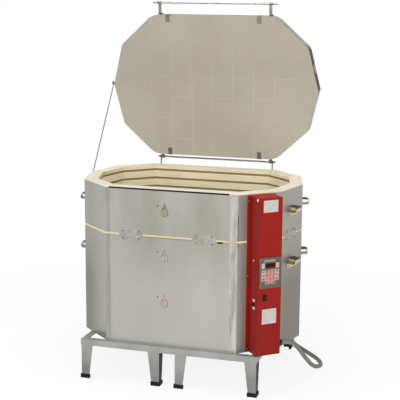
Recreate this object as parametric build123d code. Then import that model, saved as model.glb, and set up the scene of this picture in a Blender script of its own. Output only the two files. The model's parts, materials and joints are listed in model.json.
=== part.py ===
"""A ten-sided oval ceramic kiln on a steel stand, with its lid open, in millimetres.

+X is to the right, +Y to the back and +Z up. The origin is on the floor, under the middle of the whole
kiln with its lid open. The pieces are drawn about the middle of the body and moved when they are written.
"""
import os
from math import cos, hypot, pi, radians, sin, sqrt, tan

from build123d import *

# Plan of the body, measured on the outside of the steel jacket
half_width = 570.0
half_depth = 380.0
shoulder_inset_x = 53.0
shoulder_inset_y = 162.0
long_side_inset = 230.0

# From the middle of the body back to the middle of the whole kiln
middle_behind_body = 12.0

# Heights
stand_height = 205.0
pan_thickness = 1.0
floor_thickness = 101.6
course_height = 228.6
course_count = 3
jacket_gap = 10.0
jacket_below_rim = 4.0

# Walls
brick_wall = 63.5
jacket_thickness = 0.8
jacket_clearance = 0.3
long_side_bow = 3.0
long_side_brick_count = 3

# Element grooves, with the coiled elements that lie in them
grooves_per_course_count = 5
groove_height = 11.0
groove_depth = 15.0
element_radius = 4.5
element_play = 0.2
element_corner_radius = 9.0

# Element terminals and the thermocouple, through the front right wall
terminal_half_gap = 26.0
terminal_radius = 3.0
terminal_play = 0.3
terminal_gap = 0.4
terminal_out = 38.0
connector_radius = 5.5
connector_length = 14.0
connector_inset = 2.0
thermocouple_radius = 4.0
thermocouple_play = 0.5
thermocouple_reach = 32.0
probe_block_width = 28.0
probe_block_height = 18.0
probe_block_depth = 16.0
probe_seat = 2.0

# Stand
stand_inset_x = 111.0
stand_overhang_y = 25.0
stand_shift = -10.0
angle_width = 31.0
angle_thickness = 2.5
leg_top_width = 64.0
leg_foot_width = 39.0
middle_legs_apart = 82.0
foot_height = 20.0
foot_wall = 5.0
foot_base = 4.0
foot_play = 0.1
foot_slot_slack = 2.0
rivet_radius = 2.4
rivet_head_radius = 4.5
rivet_head_height = 1.6
rivet_play = 0.05
rivet_from_corner = 14.0
rivet_from_leg_edge = 16.0

# Peepholes in the front, each with a ceramic plug
peephole_x = -30.0
peephole_bore_radius = 13.0
peephole_taper = 1.5
plug_play = 0.5
plug_seat = 0.05
plug_head_radius = 16.5
plug_head_height = 9.0
plug_tip_inset = 17.0
plug_grip_width = 7.0
plug_grip_height = 20.0
plug_grip_reach = 12.0
plug_rounding = 2.5
jacket_hole_radius = 19.0
jacket_hole_peak = 50.0
peephole_screw_left = 35.0
peephole_screw_above = 33.0

# Section plates, each with a narrow waist between two pairs of ears
plate_width = 118.0
plate_height = 62.0
plate_waist = 42.0
plate_end_height = 25.2
plate_ear_outer = 42.5
plate_ear_inner = 24.8
plate_waist_half_length = 14.75
plate_thickness = 1.2
front_plate_places = (-205.0, 171.0)
rear_plate_places = (-190.0, 190.0)
end_plate_shift = -14.0
plate_screw_x = 41.0
plate_screw_y = 18.5

# Screws in the jacket, the box and the lid
screw_head_radius = 3.6
screw_head_height = 2.0
screw_head_chamfer = 0.7
screw_shank_radius = 1.6
screw_in_brick = 8.0

# Lifting handles
handle_width = 95.0
handle_loop_width = 60.0
handle_reach = 37.0
handle_rise = 28.0
handle_foot = 19.0
handle_sheet = 2.0
handle_corner = 13.0
handle_below_rim = 121.0
handle_below_joint = 153.0
handle_screw_x = 34.0
stay_side_handle_shift = 32.0

# Seam strips beside the front corners, and the slot under the section joint
strip_from_edge = 1.0
right_strip_width = 38.0
right_strip_inset = 21.0
left_strip_width = 22.0
left_strip_inset = 13.0
slot_inset_x = 88.0
slot_below_joint = 4.0
slot_width = 26.0
slot_height = 8.5

# Lid, round at the ends of its long sides and at its shoulders
lid_thickness = 63.5
lid_seat = 0.5
lid_end_radius = 90.0
lid_shoulder_radius = 55.0
lid_band_thickness = 0.8
lid_band_edge = 1.5
lid_open_angle = 86.0
hinge_behind_body = 22.0
hinge_above_rim = 37.0
arm_inset = 34.0
arm_width = 16.0
arm_thickness = 5.0
arm_eye_radius = 8.5
arm_bend_radius = 3.0
arm_edge_gap = 1.0
arm_screw_inset = 83.6
rod_radius = 4.75
hinge_play = 0.05
grab_rod_reach = 62.0
grab_rod_overhang = 38.0
hinge_rod_overhang = 14.0
nut_radius = 7.0
nut_width = 7.0
nut_gap = 0.2

# Hinge brackets on the rear of the jacket
bracket_thickness = 4.0
bracket_width = 34.0
bracket_foot_thickness = 3.0
bracket_below_rim = 88.0
bracket_top_below_rim = 24.0
bracket_toe = 9.0
bracket_neck_below_rim = 20.0
bracket_shoulder_below_rod = 14.0
bracket_gap = 0.6

# Clips folded round the lid's edge, and the clamps of its band
clip_inset = 88.0
clip_width = 24.0
clip_reach = 38.0
clip_rise = 46.0
clip_thickness = 1.6
clip_play = 0.1
clip_recess_play = 0.2
clamp_length = 46.0
clamp_height = 13.0
clamp_depth = 6.0
clamp_slot = 7.0
clamp_slot_inset = 8.0
clamp_floor = 2.5
clamp_bolt_radius = 2.2
clamp_bolt_height = 3.2
clamp_bolt_overhang = 4.0

# Lid stay: a rod that slides through a swivelling eye on the left side
stay_out = 14.0
stay_rod_radius = 3.0
stay_eye_below_rim = 74.0
stay_play = 0.4
stay_eye_ring = 8.0
stay_eye_length = 11.0
stay_tail = 22.0
stay_collar_radius = 7.0
stay_collar_height = 9.0
stay_collar_gap = 0.5
stay_pivot_ring = 8.5
stay_ring_width = 5.0
stay_bolt_radius = 4.0
stay_bolt_head_radius = 7.5
stay_bolt_head_height = 4.8
stay_spacer_radius = 7.0
stay_side_gap = 0.8
stay_shank_radius = 4.0
stay_block_out = 7.8
stay_block_depth = 14.0
stay_shank_depth = 6.0
stay_block_width = 30.0
stay_block_height = 44.0

# Control box on the front right side
box_width = 126.5
box_depth = 93.0
box_along = 6.0
box_sheet = 1.2
box_above_stand = 4.0
box_below_rim = 9.0
flange_width = 14.0
box_screw_from_top = 26.0
box_screw_from_bottom = 14.0

# Controller: bezel, keypad with its keys, display window and circuit board
panel_width = 114.0
panel_height = 150.0
panel_below_top = 364.0
panel_thickness = 6.0
panel_corner = 5.0
panel_chamfer = 1.6
panel_recess = 2.0
panel_ledge = 4.0
bezel_rim = 5.0
display_width = 54.0
display_height = 24.0
display_above_middle = 37.0
overlay_thickness = 0.8
key_rise = 0.4
key_width = 15.0
key_height = 13.0
key_pitch_x = 18.5
key_pitch_y = 18.0
key_top = 8.0
key_column_count = 5
key_row_count = 4
side_key_width = 14.0
side_key_height = 9.0
side_key_gap = 12.0
side_key_pitch = 14.4
board_thickness = 1.6
board_gap = 9.0
board_inset = 5.0
post_radius = 3.0
post_inset = 8.0

# Power rocker
rocker_below_top = 486.0
rocker_along = -26.0
rocker_width = 22.0
rocker_height = 31.0
rocker_lip_width = 1.5
rocker_lip_height = 2.0
rocker_lip = 1.8
rocker_wall = 2.0
rocker_body = 16.0
rocker_floor = 3.0
rocker_axis = -2.2
rocker_play = 0.35
rocker_end_play = 0.9
rocker_pin_radius = 1.5
rocker_pin_length = 2.0
rocker_pin_play = 0.2
rocker_travel = 9.0
paddle_rise = 1.2
paddle_foot = 4.5
paddle_dip = 0.9

# Toggle switch in the box's left wall
toggle_below_top = 523.0
toggle_out = 54.0
toggle_travel = 24.0
toggle_bush_radius = 5.5
toggle_bush_length = 8.0
toggle_nut_wall = 3.0
toggle_nut_height = 2.4
toggle_mouth_radius = 4.4
toggle_throat_radius = 2.6
toggle_ball_radius = 3.6
toggle_ball_play = 0.3
toggle_pin_radius = 0.9
toggle_pin_overhang = 1.6
toggle_pin_play = 0.15
toggle_stick_radius = 1.5
toggle_stick_length = 19.0
toggle_knob_radius = 2.6
toggle_case = 14.0

# Blank plates, blanking buttons, relays and terminal block
label_width = 78.0
upper_label_height = 58.0
upper_label_below_top = 40.0
lower_label_height = 74.0
lower_label_below_top = 580.0
label_thickness = 0.6
button_radius = 7.0
button_out = 80.0
button_below_top = 10.0
small_button_radius = 4.0
small_button_out = 47.0
small_button_below_top = 308.0
button_height = 1.6
button_chamfer = 0.8
button_stem_length = 3.0
button_lip = 1.6
button_play = 0.1
relay_along = 50.0
relay_width = 26.0
relay_height = 62.0
relay_depth = 36.0
relay_shares = (0.35, 0.55, 0.75)
terminal_block_width = 64.0
terminal_block_height = 24.0
terminal_block_depth = 16.0
terminal_block_above_bottom = 48.0
terminal_slot_width = 8.0
terminal_slot_height = 14.0
terminal_slot_depth = 5.0
terminal_slot_pitch = 22.0

# Supply cord and its gland
cord_radius = 11.0
gland_below_top = 736.0
gland_out = 46.0
gland_radius = 17.0
gland_length = 34.0
gland_hexagon_radius = 19.0
gland_hexagon_length = 9.0
gland_body_radius = 16.0
gland_dome_length = 8.0
gland_dome_radius = 13.0
gland_thread_radius = 12.5
gland_thread_play = 0.05
gland_thread_inside = 6.0
gland_bore_play = 0.1
gland_shoulder = 14.0
gland_run = 44.0

# The cord's put-away coil behind the kiln, and its plug
coil_turn_radius = 110.0
coil_centre = (290.0, 562.0)
coil_start_angle = 10.0
coil_turn_gap = 1.5
coil_layer_gap = 0.9
coil_turns_in = 1.0
coil_climb_turns = 0.5
coil_turns_out = 0.75
coil_tail = 66.0
coil_lead = 24.0
coil_approach = 51.0
plug_width = 56.0
plug_long = 52.0
plug_corner = 12.0
plug_relief = 42.0
plug_relief_radius = 15.0
blade_length = 24.0
blade_width = 14.0
blade_thickness = 3.0
blade_offset = 11.0
blade_height = 8.0
ground_pin_radius = 3.5
ground_pin_height = 12.0

half_long_side = half_width - long_side_inset
shoulder_x = half_width - shoulder_inset_x
shoulder_y = half_depth - shoulder_inset_y
stand_half_length = half_width - stand_inset_x
stand_half_depth = half_depth + stand_overhang_y
floor_top = stand_height + pan_thickness + floor_thickness
rim_height = floor_top + course_count * course_height
joint_height = rim_height - course_height
hinge_y = half_depth + hinge_behind_body
hinge_z = rim_height + hinge_above_rim
arm_x = half_long_side - arm_inset
clip_x = half_long_side - clip_inset
stay_x = -half_width - stay_out
wall_to_brick = jacket_thickness + jacket_clearance
coil_pitch = 2 * cord_radius + coil_turn_gap
coil_layer = 2 * cord_radius + coil_layer_gap

FRONT, FRONT_RIGHT, RIGHT_FRONT, RIGHT_REAR, REAR_RIGHT = 0, 1, 2, 3, 4
REAR, REAR_LEFT, LEFT_REAR, LEFT_FRONT, FRONT_LEFT = 5, 6, 7, 8, 9

os.makedirs("parts", exist_ok=True)


def save(name, *solids):
    """Write one node as a STEP file, in the frame whose origin is under the middle of the open kiln."""
    shape = solids[0] if len(solids) == 1 else Compound(children=list(solids))
    export_step(Pos(0, -middle_behind_body, 0) * shape, f"parts/{name}.step")


# Plan and sides

def plan_corners():
    """The ten corners of the plan, counterclockwise from the front left one."""
    quarter = [(half_long_side, half_depth), (shoulder_x, shoulder_y)]
    right = [(x, -y) for x, y in quarter] + [(half_width, 0.0)] + list(reversed(quarter))
    left = [(-x, -y) for x, y in right]
    return [left[-1]] + right + left[:-1]


def side_line(side):
    """Start, direction, outward normal and length of one side of the plan."""
    corners = plan_corners()
    (x0, y0), (x1, y1) = corners[side], corners[(side + 1) % len(corners)]
    length = hypot(x1 - x0, y1 - y0)
    ux, uy = (x1 - x0) / length, (y1 - y0) / length
    return (x0, y0), (ux, uy), (uy, -ux), length


def outline(inset, long_side_extra=0.0):
    """Corners of the plan moved inwards, with more on the two long sides."""
    lines = []
    for side in range(10):
        (x0, y0), u, n, _ = side_line(side)
        step = inset + (long_side_extra if side in (FRONT, REAR) else 0.0)
        lines.append(((x0 - n[0] * step, y0 - n[1] * step), u))
    corners = []
    for side in range(10):
        (ax, ay), (aux, auy) = lines[side - 1]
        (bx, by), (bux, buy) = lines[side]
        along = ((bx - ax) * buy - (by - ay) * bux) / (aux * buy - auy * bux)
        corners.append((ax + aux * along, ay + auy * along))
    return corners


def prism(points, bottom, height):
    """A straight-sided solid over a plan."""
    face = Face(Wire.make_polygon([(x, y, bottom) for x, y in points]))
    return extrude(face, amount=height, dir=(0, 0, 1))


def side_frame(side, along=0.0, height=0.0, out=0.0):
    """A place on a side: local X along it, local Y up and local Z outwards."""
    (x0, y0), u, n, length = side_line(side)
    reach = length / 2 + along
    origin = (x0 + u[0] * reach + n[0] * out, y0 + u[1] * reach + n[1] * out, height)
    return Plane(origin=origin, x_dir=(u[0], u[1], 0), z_dir=(n[0], n[1], 0)).location


def flat(width, height, thickness):
    """A plate lying on its side frame."""
    return Box(width, height, thickness, align=(Align.CENTER, Align.CENTER, Align.MIN))


def peg(radius, length):
    """A round bar that stands out of its side frame."""
    return Cylinder(radius, length, align=(Align.CENTER, Align.CENTER, Align.MIN))


def tube_between(start, end, radius):
    """A round bar from one point to another."""
    path = Vector(*end) - Vector(*start)
    place = Plane(origin=start, z_dir=path).location
    return place * Cylinder(radius, path.length, align=(Align.CENTER, Align.CENTER, Align.MIN))


def screw(grip):
    """A flat round screw, its head outside and its shank through what it holds."""
    shank = Pos(0, 0, -grip) * peg(screw_shank_radius, grip)
    head = chamfer(peg(screw_head_radius, screw_head_height).edges().group_by(Axis.Z)[-1], screw_head_chamfer)
    return head + shank


def screw_hole(grip):
    """The hole for a screw's shank."""
    return Pos(0, 0, -grip) * peg(screw_shank_radius + rivet_play, grip)


# Stand

def mitre(corner_a, corner_b, inwards):
    """A plan strip along one edge of the stand, cut at 45 degrees at both ends."""
    (ax, ay), (bx, by) = corner_a, corner_b
    length = hypot(bx - ax, by - ay)
    ux, uy = (bx - ax) / length, (by - ay) / length
    nx, ny = -uy, ux
    return [
        corner_a,
        corner_b,
        (bx + (nx - ux) * inwards, by + (ny - uy) * inwards),
        (ax + (nx + ux) * inwards, ay + (ny + uy) * inwards),
    ]


def stand_rail(corner_a, corner_b):
    """An angle rail: its upright leg outside and its flat leg on top, turned inwards."""
    upright = prism(mitre(corner_a, corner_b, angle_thickness), stand_height - angle_width, angle_width)
    top = prism(mitre(corner_a, corner_b, angle_width), stand_height - angle_thickness, angle_thickness)
    return upright + top


def leg_spots():
    """Corner, and the way in along X and Y, of each of the eight legs."""
    spots = []
    for y_side in (-1, 1):
        for x, way in (
            (-stand_half_length, 1),
            (-middle_legs_apart / 2, -1),
            (middle_legs_apart / 2, 1),
            (stand_half_length, -1),
        ):
            y = y_side * (stand_half_depth - angle_thickness)
            inset = angle_thickness * way if abs(x) == stand_half_length else 0.0
            spots.append((stand_shift + x + inset, y, way, -y_side))
    return spots


def leg_flange():
    """A leg's tapered flange in the XZ plane, its straight edge at X = 0."""
    bottom, top = foot_base, stand_height - angle_thickness
    points = [(0, 0, bottom), (leg_foot_width, 0, bottom), (leg_top_width, 0, top), (0, 0, top)]
    return extrude(Face(Wire.make_polygon(points)), amount=angle_thickness, dir=(0, 1, 0))


def stand_leg(spot):
    """One tapered angle leg, with its corner at the spot."""
    x, y, x_way, y_way = spot
    front = leg_flange()
    side = front.mirror(Plane(origin=(0, 0, 0), z_dir=(1, -1, 0)))
    leg = front + side
    if x_way < 0:
        leg = leg.mirror(Plane.YZ)
    if y_way < 0:
        leg = leg.mirror(Plane.XZ)
    return Pos(x, y, 0) * leg


def angle_shape(length, width):
    """An upright angle of a foot's height, with its corner at the origin."""
    corner = (Align.MIN, Align.MIN, Align.MIN)
    return Box(length, width, foot_height, align=corner) + Box(width, length, foot_height, align=corner)


def stand_foot(spot):
    """A rubber boot that the leg's end stands in."""
    x, y, x_way, y_way = spot
    outside = angle_shape(leg_foot_width + 2 * foot_wall, angle_thickness + 2 * foot_wall)
    inside = angle_shape(leg_foot_width + 2 * foot_play + foot_slot_slack, angle_thickness + 2 * foot_play)
    boot = Pos(-foot_wall, -foot_wall, 0) * outside
    boot -= Pos(-foot_play, -foot_play, foot_base) * inside
    if x_way < 0:
        boot = boot.mirror(Plane.YZ)
    if y_way < 0:
        boot = boot.mirror(Plane.XZ)
    return Pos(x, y, 0) * boot


def rivet_spots():
    """Two rivets for each leg, through the front or rear rail."""
    spots = []
    for x, y, x_way, y_way in leg_spots():
        outside = -y_way * stand_half_depth
        for reach in (rivet_from_corner, leg_top_width - rivet_from_leg_edge):
            spots.append((x + x_way * reach, outside, y_way))
    return spots


def rivet(spot):
    """A rivet with a flat head on both sides of the rail and the leg."""
    x, y, way = spot
    grip = 2 * angle_thickness
    along = Plane(origin=(x, y, stand_height - angle_width / 2), z_dir=(0, way, 0)).location
    outer = Pos(0, 0, -rivet_head_height) * peg(rivet_head_radius, rivet_head_height)
    inner = Pos(0, 0, grip) * peg(rivet_head_radius, rivet_head_height)
    return along * (outer + peg(rivet_radius, grip) + inner)


def rivet_hole(spot):
    """The hole that a rivet fills."""
    x, y, way = spot
    along = Plane(origin=(x, y, stand_height - angle_width / 2), z_dir=(0, way, 0)).location
    return along * peg(rivet_radius + rivet_play, 2 * angle_thickness)


def stand_crossbar(way):
    """An angle bar from front to rear beside the middle legs."""
    length = 2 * (stand_half_depth - 2 * angle_thickness)
    corner = (Align.MIN if way > 0 else Align.MAX, Align.CENTER, Align.MAX)
    upright = Box(angle_thickness, length, angle_width, align=corner)
    ledge = Box(angle_width, length, angle_thickness, align=corner)
    edge = middle_legs_apart / 2 + angle_thickness
    return Pos(stand_shift + way * edge, 0, stand_height - angle_thickness) * (upright + ledge)


def make_stand():
    """Rails, crossbars, legs, feet and rivets."""
    left, right = stand_shift - stand_half_length, stand_shift + stand_half_length
    front, rear = -stand_half_depth, stand_half_depth
    corners = [(left, front), (right, front), (right, rear), (left, rear)]
    holes = [rivet_hole(spot) for spot in rivet_spots()]
    rails = [stand_rail(corners[index], corners[(index + 1) % 4]) for index in range(4)]
    save("stand_rails", *[rail - holes for rail in rails])
    save("stand_crossbars", *[stand_crossbar(way) for way in (-1, 1)])
    save("stand_legs", *[stand_leg(spot) - holes for spot in leg_spots()])
    save("stand_feet", *[stand_foot(spot) for spot in leg_spots()])
    save("stand_rivets", *[rivet(spot) for spot in rivet_spots()])


# Firebrick body

def brick_outline(inset):
    """Plan of the firebrick, which stands off the jacket on the two long sides."""
    return outline(wall_to_brick + inset, long_side_bow)


def groove_heights(bottom):
    """Middle of each element groove in one course."""
    pitch = course_height / grooves_per_course_count
    return [bottom + pitch * (index + 0.5) for index in range(grooves_per_course_count)]


def brick_course(bottom):
    """Ten mitred walls, the long ones cut into single bricks, with the element grooves."""
    outer = brick_outline(0.0)
    inner = brick_outline(brick_wall)
    deep = brick_outline(brick_wall - groove_depth)
    grooves = [prism(deep, height - groove_height / 2, groove_height) for height in groove_heights(bottom)]
    walls = []
    for side in range(10):
        ahead = (side + 1) % 10
        parts = long_side_brick_count if side in (FRONT, REAR) else 1
        for step in range(parts):
            share = [step / parts, (step + 1) / parts]
            low_out, high_out = [between(outer[side], outer[ahead], s) for s in share]
            # the joints in a long wall are square to it, so the inner end takes the outer end's place
            low_in, high_in = inner[side], inner[ahead]
            if step > 0:
                low_in = (low_out[0], inner[side][1])
            if step < parts - 1:
                high_in = (high_out[0], inner[side][1])
            brick = prism([low_out, high_out, high_in, low_in], bottom, course_height)
            walls.append(brick - grooves)
    return walls


def between(a, b, share):
    """A point part of the way from a to b."""
    return (a[0] + (b[0] - a[0]) * share, a[1] + (b[1] - a[1]) * share)


def course_bottoms():
    """The lower face of each course of brick."""
    return [floor_top + index * course_height for index in range(course_count)]


def peephole_heights():
    """One peephole in the middle of each course."""
    return [bottom + course_height / 2 for bottom in course_bottoms()]


def peephole_bore(height):
    """The tapered hole through the front wall, wide end outside."""
    face = long_side_bow + wall_to_brick
    bore = Cone(
        peephole_bore_radius - peephole_taper, peephole_bore_radius, brick_wall,
        align=(Align.CENTER, Align.CENTER, Align.MAX))
    return side_frame(FRONT, peephole_x, height, -face) * bore


def peephole_plug(height):
    """A ceramic plug: a tapered shank and a round head that rests on the brick."""
    face = long_side_bow + wall_to_brick
    length = brick_wall - plug_tip_inset
    tip = peephole_bore_radius - peephole_taper * length / brick_wall - plug_play
    shank = Cone(tip, peephole_bore_radius - plug_play, length, align=(Align.CENTER, Align.CENTER, Align.MAX))
    head = fillet(peg(plug_head_radius, plug_head_height).edges().group_by(Axis.Z)[-1], plug_rounding)
    grip = Pos(0, 0, plug_head_height) * flat(plug_grip_width, plug_grip_height, plug_grip_reach)
    grip = fillet(grip.edges().group_by(Axis.Z)[-1], plug_rounding)
    return side_frame(FRONT, peephole_x, height, plug_seat - face) * (shank + head + grip)


def make_bricks():
    """Bottom pan, floor slab, three courses of firebrick, peephole plugs and elements."""
    pan = outline(wall_to_brick)
    save("bottom_pan", prism(pan, stand_height, pan_thickness))
    save("floor_slab", prism(brick_outline(0.0), stand_height + pan_thickness, floor_thickness))
    names = ("bricks_bottom_course", "bricks_middle_course", "bricks_top_course")
    for name, bottom, height in zip(names, course_bottoms(), peephole_heights()):
        bore = peephole_bore(height)
        holes = [bore] + terminal_holes(bottom) + [thermocouple_hole()]
        save(name, *[wall - holes for wall in brick_course(bottom)])
    for number, height in enumerate(peephole_heights(), start=1):
        save(f"peephole_plug_{number}", peephole_plug(height))
    grooves = [groove for bottom in course_bottoms() for groove in groove_heights(bottom)]
    save("heating_elements", *[element(element_height(groove)) for groove in grooves])


# Heating elements, their terminals and the thermocouple

def element_height(groove):
    """Centre of an element that lies on the lower face of its groove."""
    return groove - groove_height / 2 + element_radius + element_play


def element_path_points(height):
    """Corners of one element, from one terminal to the other."""
    corners = brick_outline(brick_wall - groove_depth / 2)
    ahead = corners[FRONT_RIGHT]
    end = corners[RIGHT_FRONT]
    middle = between(ahead, end, 0.5)
    length = hypot(end[0] - ahead[0], end[1] - ahead[1])
    step = ((end[0] - ahead[0]) / length, (end[1] - ahead[1]) / length)
    reach = terminal_half_gap
    start = (middle[0] + step[0] * reach, middle[1] + step[1] * reach)
    stop = (middle[0] - step[0] * reach, middle[1] - step[1] * reach)
    ordered = [start] + corners[RIGHT_FRONT:] + corners[:FRONT_RIGHT + 1] + [stop]
    return [(x, y, height) for x, y in ordered]


def element(height):
    """One element's coil as a plain round ring of its outer size, open at its terminals."""
    points = element_path_points(height)
    path = FilletPolyline(*points, radius=element_corner_radius)
    start = Plane(origin=path @ 0, z_dir=path % 0)
    return sweep(start * Circle(element_radius), path=path)


def terminal_spots(bottom):
    """Both ends of every element in a course, on the front right side."""
    heights = [element_height(groove) for groove in groove_heights(bottom)]
    return [(along, height) for height in heights for along in (-terminal_half_gap, terminal_half_gap)]


def terminal_inner():
    """How far inside the outer face of the jacket the elements run."""
    return wall_to_brick + brick_wall - groove_depth / 2


def terminal_holes(bottom):
    """Holes for the element ends through the front right wall."""
    hole = peg(terminal_radius + terminal_play, terminal_inner() + terminal_out)
    return [
        side_frame(FRONT_RIGHT, along, height, -terminal_inner()) * hole
        for along, height in terminal_spots(bottom)]


def element_terminal(along, height):
    """A steel pin from the element out to its connector in the control box."""
    inner = terminal_inner() - element_radius - terminal_gap
    pin = Pos(0, 0, -inner) * peg(terminal_radius, inner + terminal_out)
    connector = Pos(0, 0, terminal_out - connector_inset - connector_length)
    connector = connector * peg(connector_radius, connector_length)
    return side_frame(FRONT_RIGHT, along, height) * (pin + connector)


def thermocouple_height():
    """Half way up the middle course, clear of the grooves."""
    return course_bottoms()[1] + course_height / 2 + course_height / grooves_per_course_count / 2


def thermocouple_inner():
    """How far inside the outer face of the jacket the thermocouple ends."""
    return wall_to_brick + brick_wall + thermocouple_reach


def thermocouple_hole():
    """The thermocouple's hole through brick, jacket and box."""
    hole = peg(thermocouple_radius + thermocouple_play, thermocouple_inner() + 2 * box_sheet)
    return side_frame(FRONT_RIGHT, 0, thermocouple_height(), -thermocouple_inner()) * hole


def make_electrics_inside():
    """Element terminals, thermocouple and its block."""
    spots = [spot for bottom in course_bottoms() for spot in terminal_spots(bottom)]
    save("element_terminals", *[element_terminal(along, height) for along, height in spots])
    place = side_frame(FRONT_RIGHT, 0, thermocouple_height())
    inner = thermocouple_inner()
    save("thermocouple", place * Pos(0, 0, -inner) * peg(thermocouple_radius, inner + box_sheet + probe_seat))
    block = flat(probe_block_width, probe_block_height, probe_block_depth)
    save("thermocouple_block", place * Pos(0, 0, box_sheet) * (block - peg(thermocouple_radius, probe_seat)))


# Steel jacket

def teardrop(radius, peak, thickness):
    """A peephole's opening in the jacket: round below and pointed above."""
    touch = radius * radius / peak
    side = sqrt(radius * radius - touch * touch)
    arc = ThreePointArc((-side, touch), (0, -radius), (side, touch))
    point = Polyline((side, touch), (0, peak), (-side, touch))
    return extrude(make_face(arc + point), amount=thickness, dir=(0, 0, -1))


def jacket_ring(bottom, height):
    """A thin sheet round the whole plan."""
    return prism(outline(0.0), bottom, height) - prism(outline(jacket_thickness), bottom, height)


def section_plate_frames():
    """Place of every plate that ties the two sections of the jacket together."""
    middle = joint_height - jacket_gap / 2
    frames = [side_frame(FRONT, x, middle) for x in front_plate_places]
    frames += [side_frame(REAR, x, middle) for x in rear_plate_places]
    frames.append(side_frame(RIGHT_FRONT, end_plate_shift, middle))
    frames.append(side_frame(LEFT_FRONT, -end_plate_shift, middle))
    return frames


def section_plate():
    """A plate with a narrow waist and a screw in each corner."""
    hw, hh, waist = plate_width / 2, plate_height / 2, plate_waist / 2
    quarter = [
        (plate_waist_half_length, -waist), (plate_ear_inner, -hh), (plate_ear_outer, -hh),
        (hw, -plate_end_height / 2),
    ]
    points = [(-x, y) for x, y in reversed(quarter)] + quarter
    points += [(-x, -y) for x, y in points]
    plate = extrude(make_face(Polyline(*points, close=True)), amount=plate_thickness)
    return plate - [spot * screw_hole(plate_thickness) for spot in lifted(plate_screw_spots())]


def plate_screw_spots():
    """Four screws in a plate's own frame."""
    return [Pos(x * plate_screw_x, y * plate_screw_y, 0) for x in (-1, 1) for y in (-1, 1)]


def lifted(spots):
    """The same places, at the top of the plate."""
    return [Pos(0, 0, plate_thickness) * spot for spot in spots]


def handle_frames():
    """Place of each handle, as upper and lower ones: two facets at each end."""
    upper, lower = [], []
    for side in (RIGHT_FRONT, RIGHT_REAR, LEFT_REAR, LEFT_FRONT):
        shift = -stay_side_handle_shift if side == LEFT_REAR else 0.0
        upper.append(side_frame(side, shift, rim_height - handle_below_rim))
        lower.append(side_frame(side, shift, joint_height - handle_below_joint))
    return upper, lower


def handle():
    """A strip rolled into a loop above its screwed foot; the loop's lower edge is at Y = 0."""
    far, rise, sheet, corner = handle_reach, handle_rise, handle_sheet, handle_corner
    outer = FilletPolyline((0, 0), (far, 0), (far, rise), (0, rise), radius=corner)
    outer_face = make_face(outer + Line((0, rise), (0, 0)))
    inner = FilletPolyline(
        (sheet, sheet), (far - sheet, sheet), (far - sheet, rise - sheet), (sheet, rise - sheet),
        radius=corner - sheet)
    inner_face = make_face(inner + Line((sheet, rise - sheet), (sheet, sheet)))
    foot = Pos(sheet / 2, -handle_foot / 2 + sheet / 2) * Rectangle(sheet, handle_foot + sheet)
    loop = extrude(outer_face - inner_face, amount=handle_loop_width / 2, both=True)
    loop += extrude(foot, amount=handle_width / 2, both=True)
    loop = Plane(origin=(0, 0, 0), x_dir=(0, 0, 1), z_dir=(-1, 0, 0)).location * loop
    return loop - [spot * screw_hole(handle_sheet) for spot in handle_screw_spots()]


def handle_screw_spots():
    """Two screws in a handle's foot, at the foot's outer face."""
    return [Pos(x * handle_screw_x, -handle_foot / 2, handle_sheet) for x in (-1, 1)]


def peephole_screw_frames():
    """The small screw beside each peephole, from which its plug's wire hung."""
    across = peephole_x - peephole_screw_left
    return [side_frame(FRONT, across, height + peephole_screw_above) for height in peephole_heights()]


def jacket_screw_places():
    """Every screw in the jacket, with the thickness that it holds."""
    places = []
    for frame in section_plate_frames():
        grip = plate_thickness + jacket_thickness
        places += [(frame * spot, grip) for spot in lifted(plate_screw_spots())]
    upper, lower = handle_frames()
    for frame in upper + lower:
        places += [(frame * spot, handle_sheet + jacket_thickness) for spot in handle_screw_spots()]
    places += [(frame, jacket_thickness) for frame in peephole_screw_frames()]
    return places


def seam_strip(bottom, height):
    """Overlap strips beside the two front corners."""
    strips = []
    right = (half_long_side - right_strip_inset, right_strip_width)
    left = (-half_long_side + left_strip_inset, left_strip_width)
    for x, width in (right, left):
        strip = flat(width, height - 2 * strip_from_edge, jacket_thickness)
        strips.append(side_frame(FRONT, x, bottom + height / 2) * strip)
    return strips


def jacket_slot():
    """A short slot in the lower jacket, just under the section joint."""
    height = joint_height - jacket_gap - slot_below_joint
    slot = flat(slot_width, slot_height, jacket_thickness)
    return side_frame(FRONT, half_long_side - slot_inset_x, height, -jacket_thickness) * slot


def make_jacket():
    """Both jacket sections with their holes, the plates, handles and screws."""
    lower_height = joint_height - jacket_gap - stand_height
    upper_height = rim_height - jacket_below_rim - joint_height
    cuts = [place * screw_hole(grip) for place, grip in jacket_screw_places()]
    cuts += [place * screw_hole(box_screw_grip()) for place in box_screw_places()]
    cuts += [hole for bottom in course_bottoms() for hole in terminal_holes(bottom)]
    cuts += [thermocouple_hole(), jacket_slot()]
    drop = teardrop(jacket_hole_radius, jacket_hole_peak, jacket_thickness)
    cuts += [side_frame(FRONT, peephole_x, height) * drop for height in peephole_heights()]
    save("jacket_lower", jacket_ring(stand_height, lower_height) - cuts)
    save("jacket_upper", jacket_ring(joint_height, upper_height) - cuts)
    strips = seam_strip(stand_height, lower_height) + seam_strip(joint_height, upper_height)
    save("jacket_seam_strips", *strips)
    plate = section_plate()
    save("section_plates", *[frame * plate for frame in section_plate_frames()])
    shape = handle()
    upper_frames, lower_frames = handle_frames()
    save("handles_upper", *[frame * shape for frame in upper_frames])
    save("handles_lower", *[frame * shape for frame in lower_frames])
    save("jacket_screws", *[place * screw(grip) for place, grip in jacket_screw_places()])


# Lid and its hinge

def opened(shape):
    """Turn a piece of the closed lid about the hinge rod into the open pose."""
    return shape.rotate(Axis((0, hinge_y, hinge_z), (1, 0, 0)), -lid_open_angle)


def lid_bottom():
    """Underside of the closed lid."""
    return rim_height + lid_seat


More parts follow.
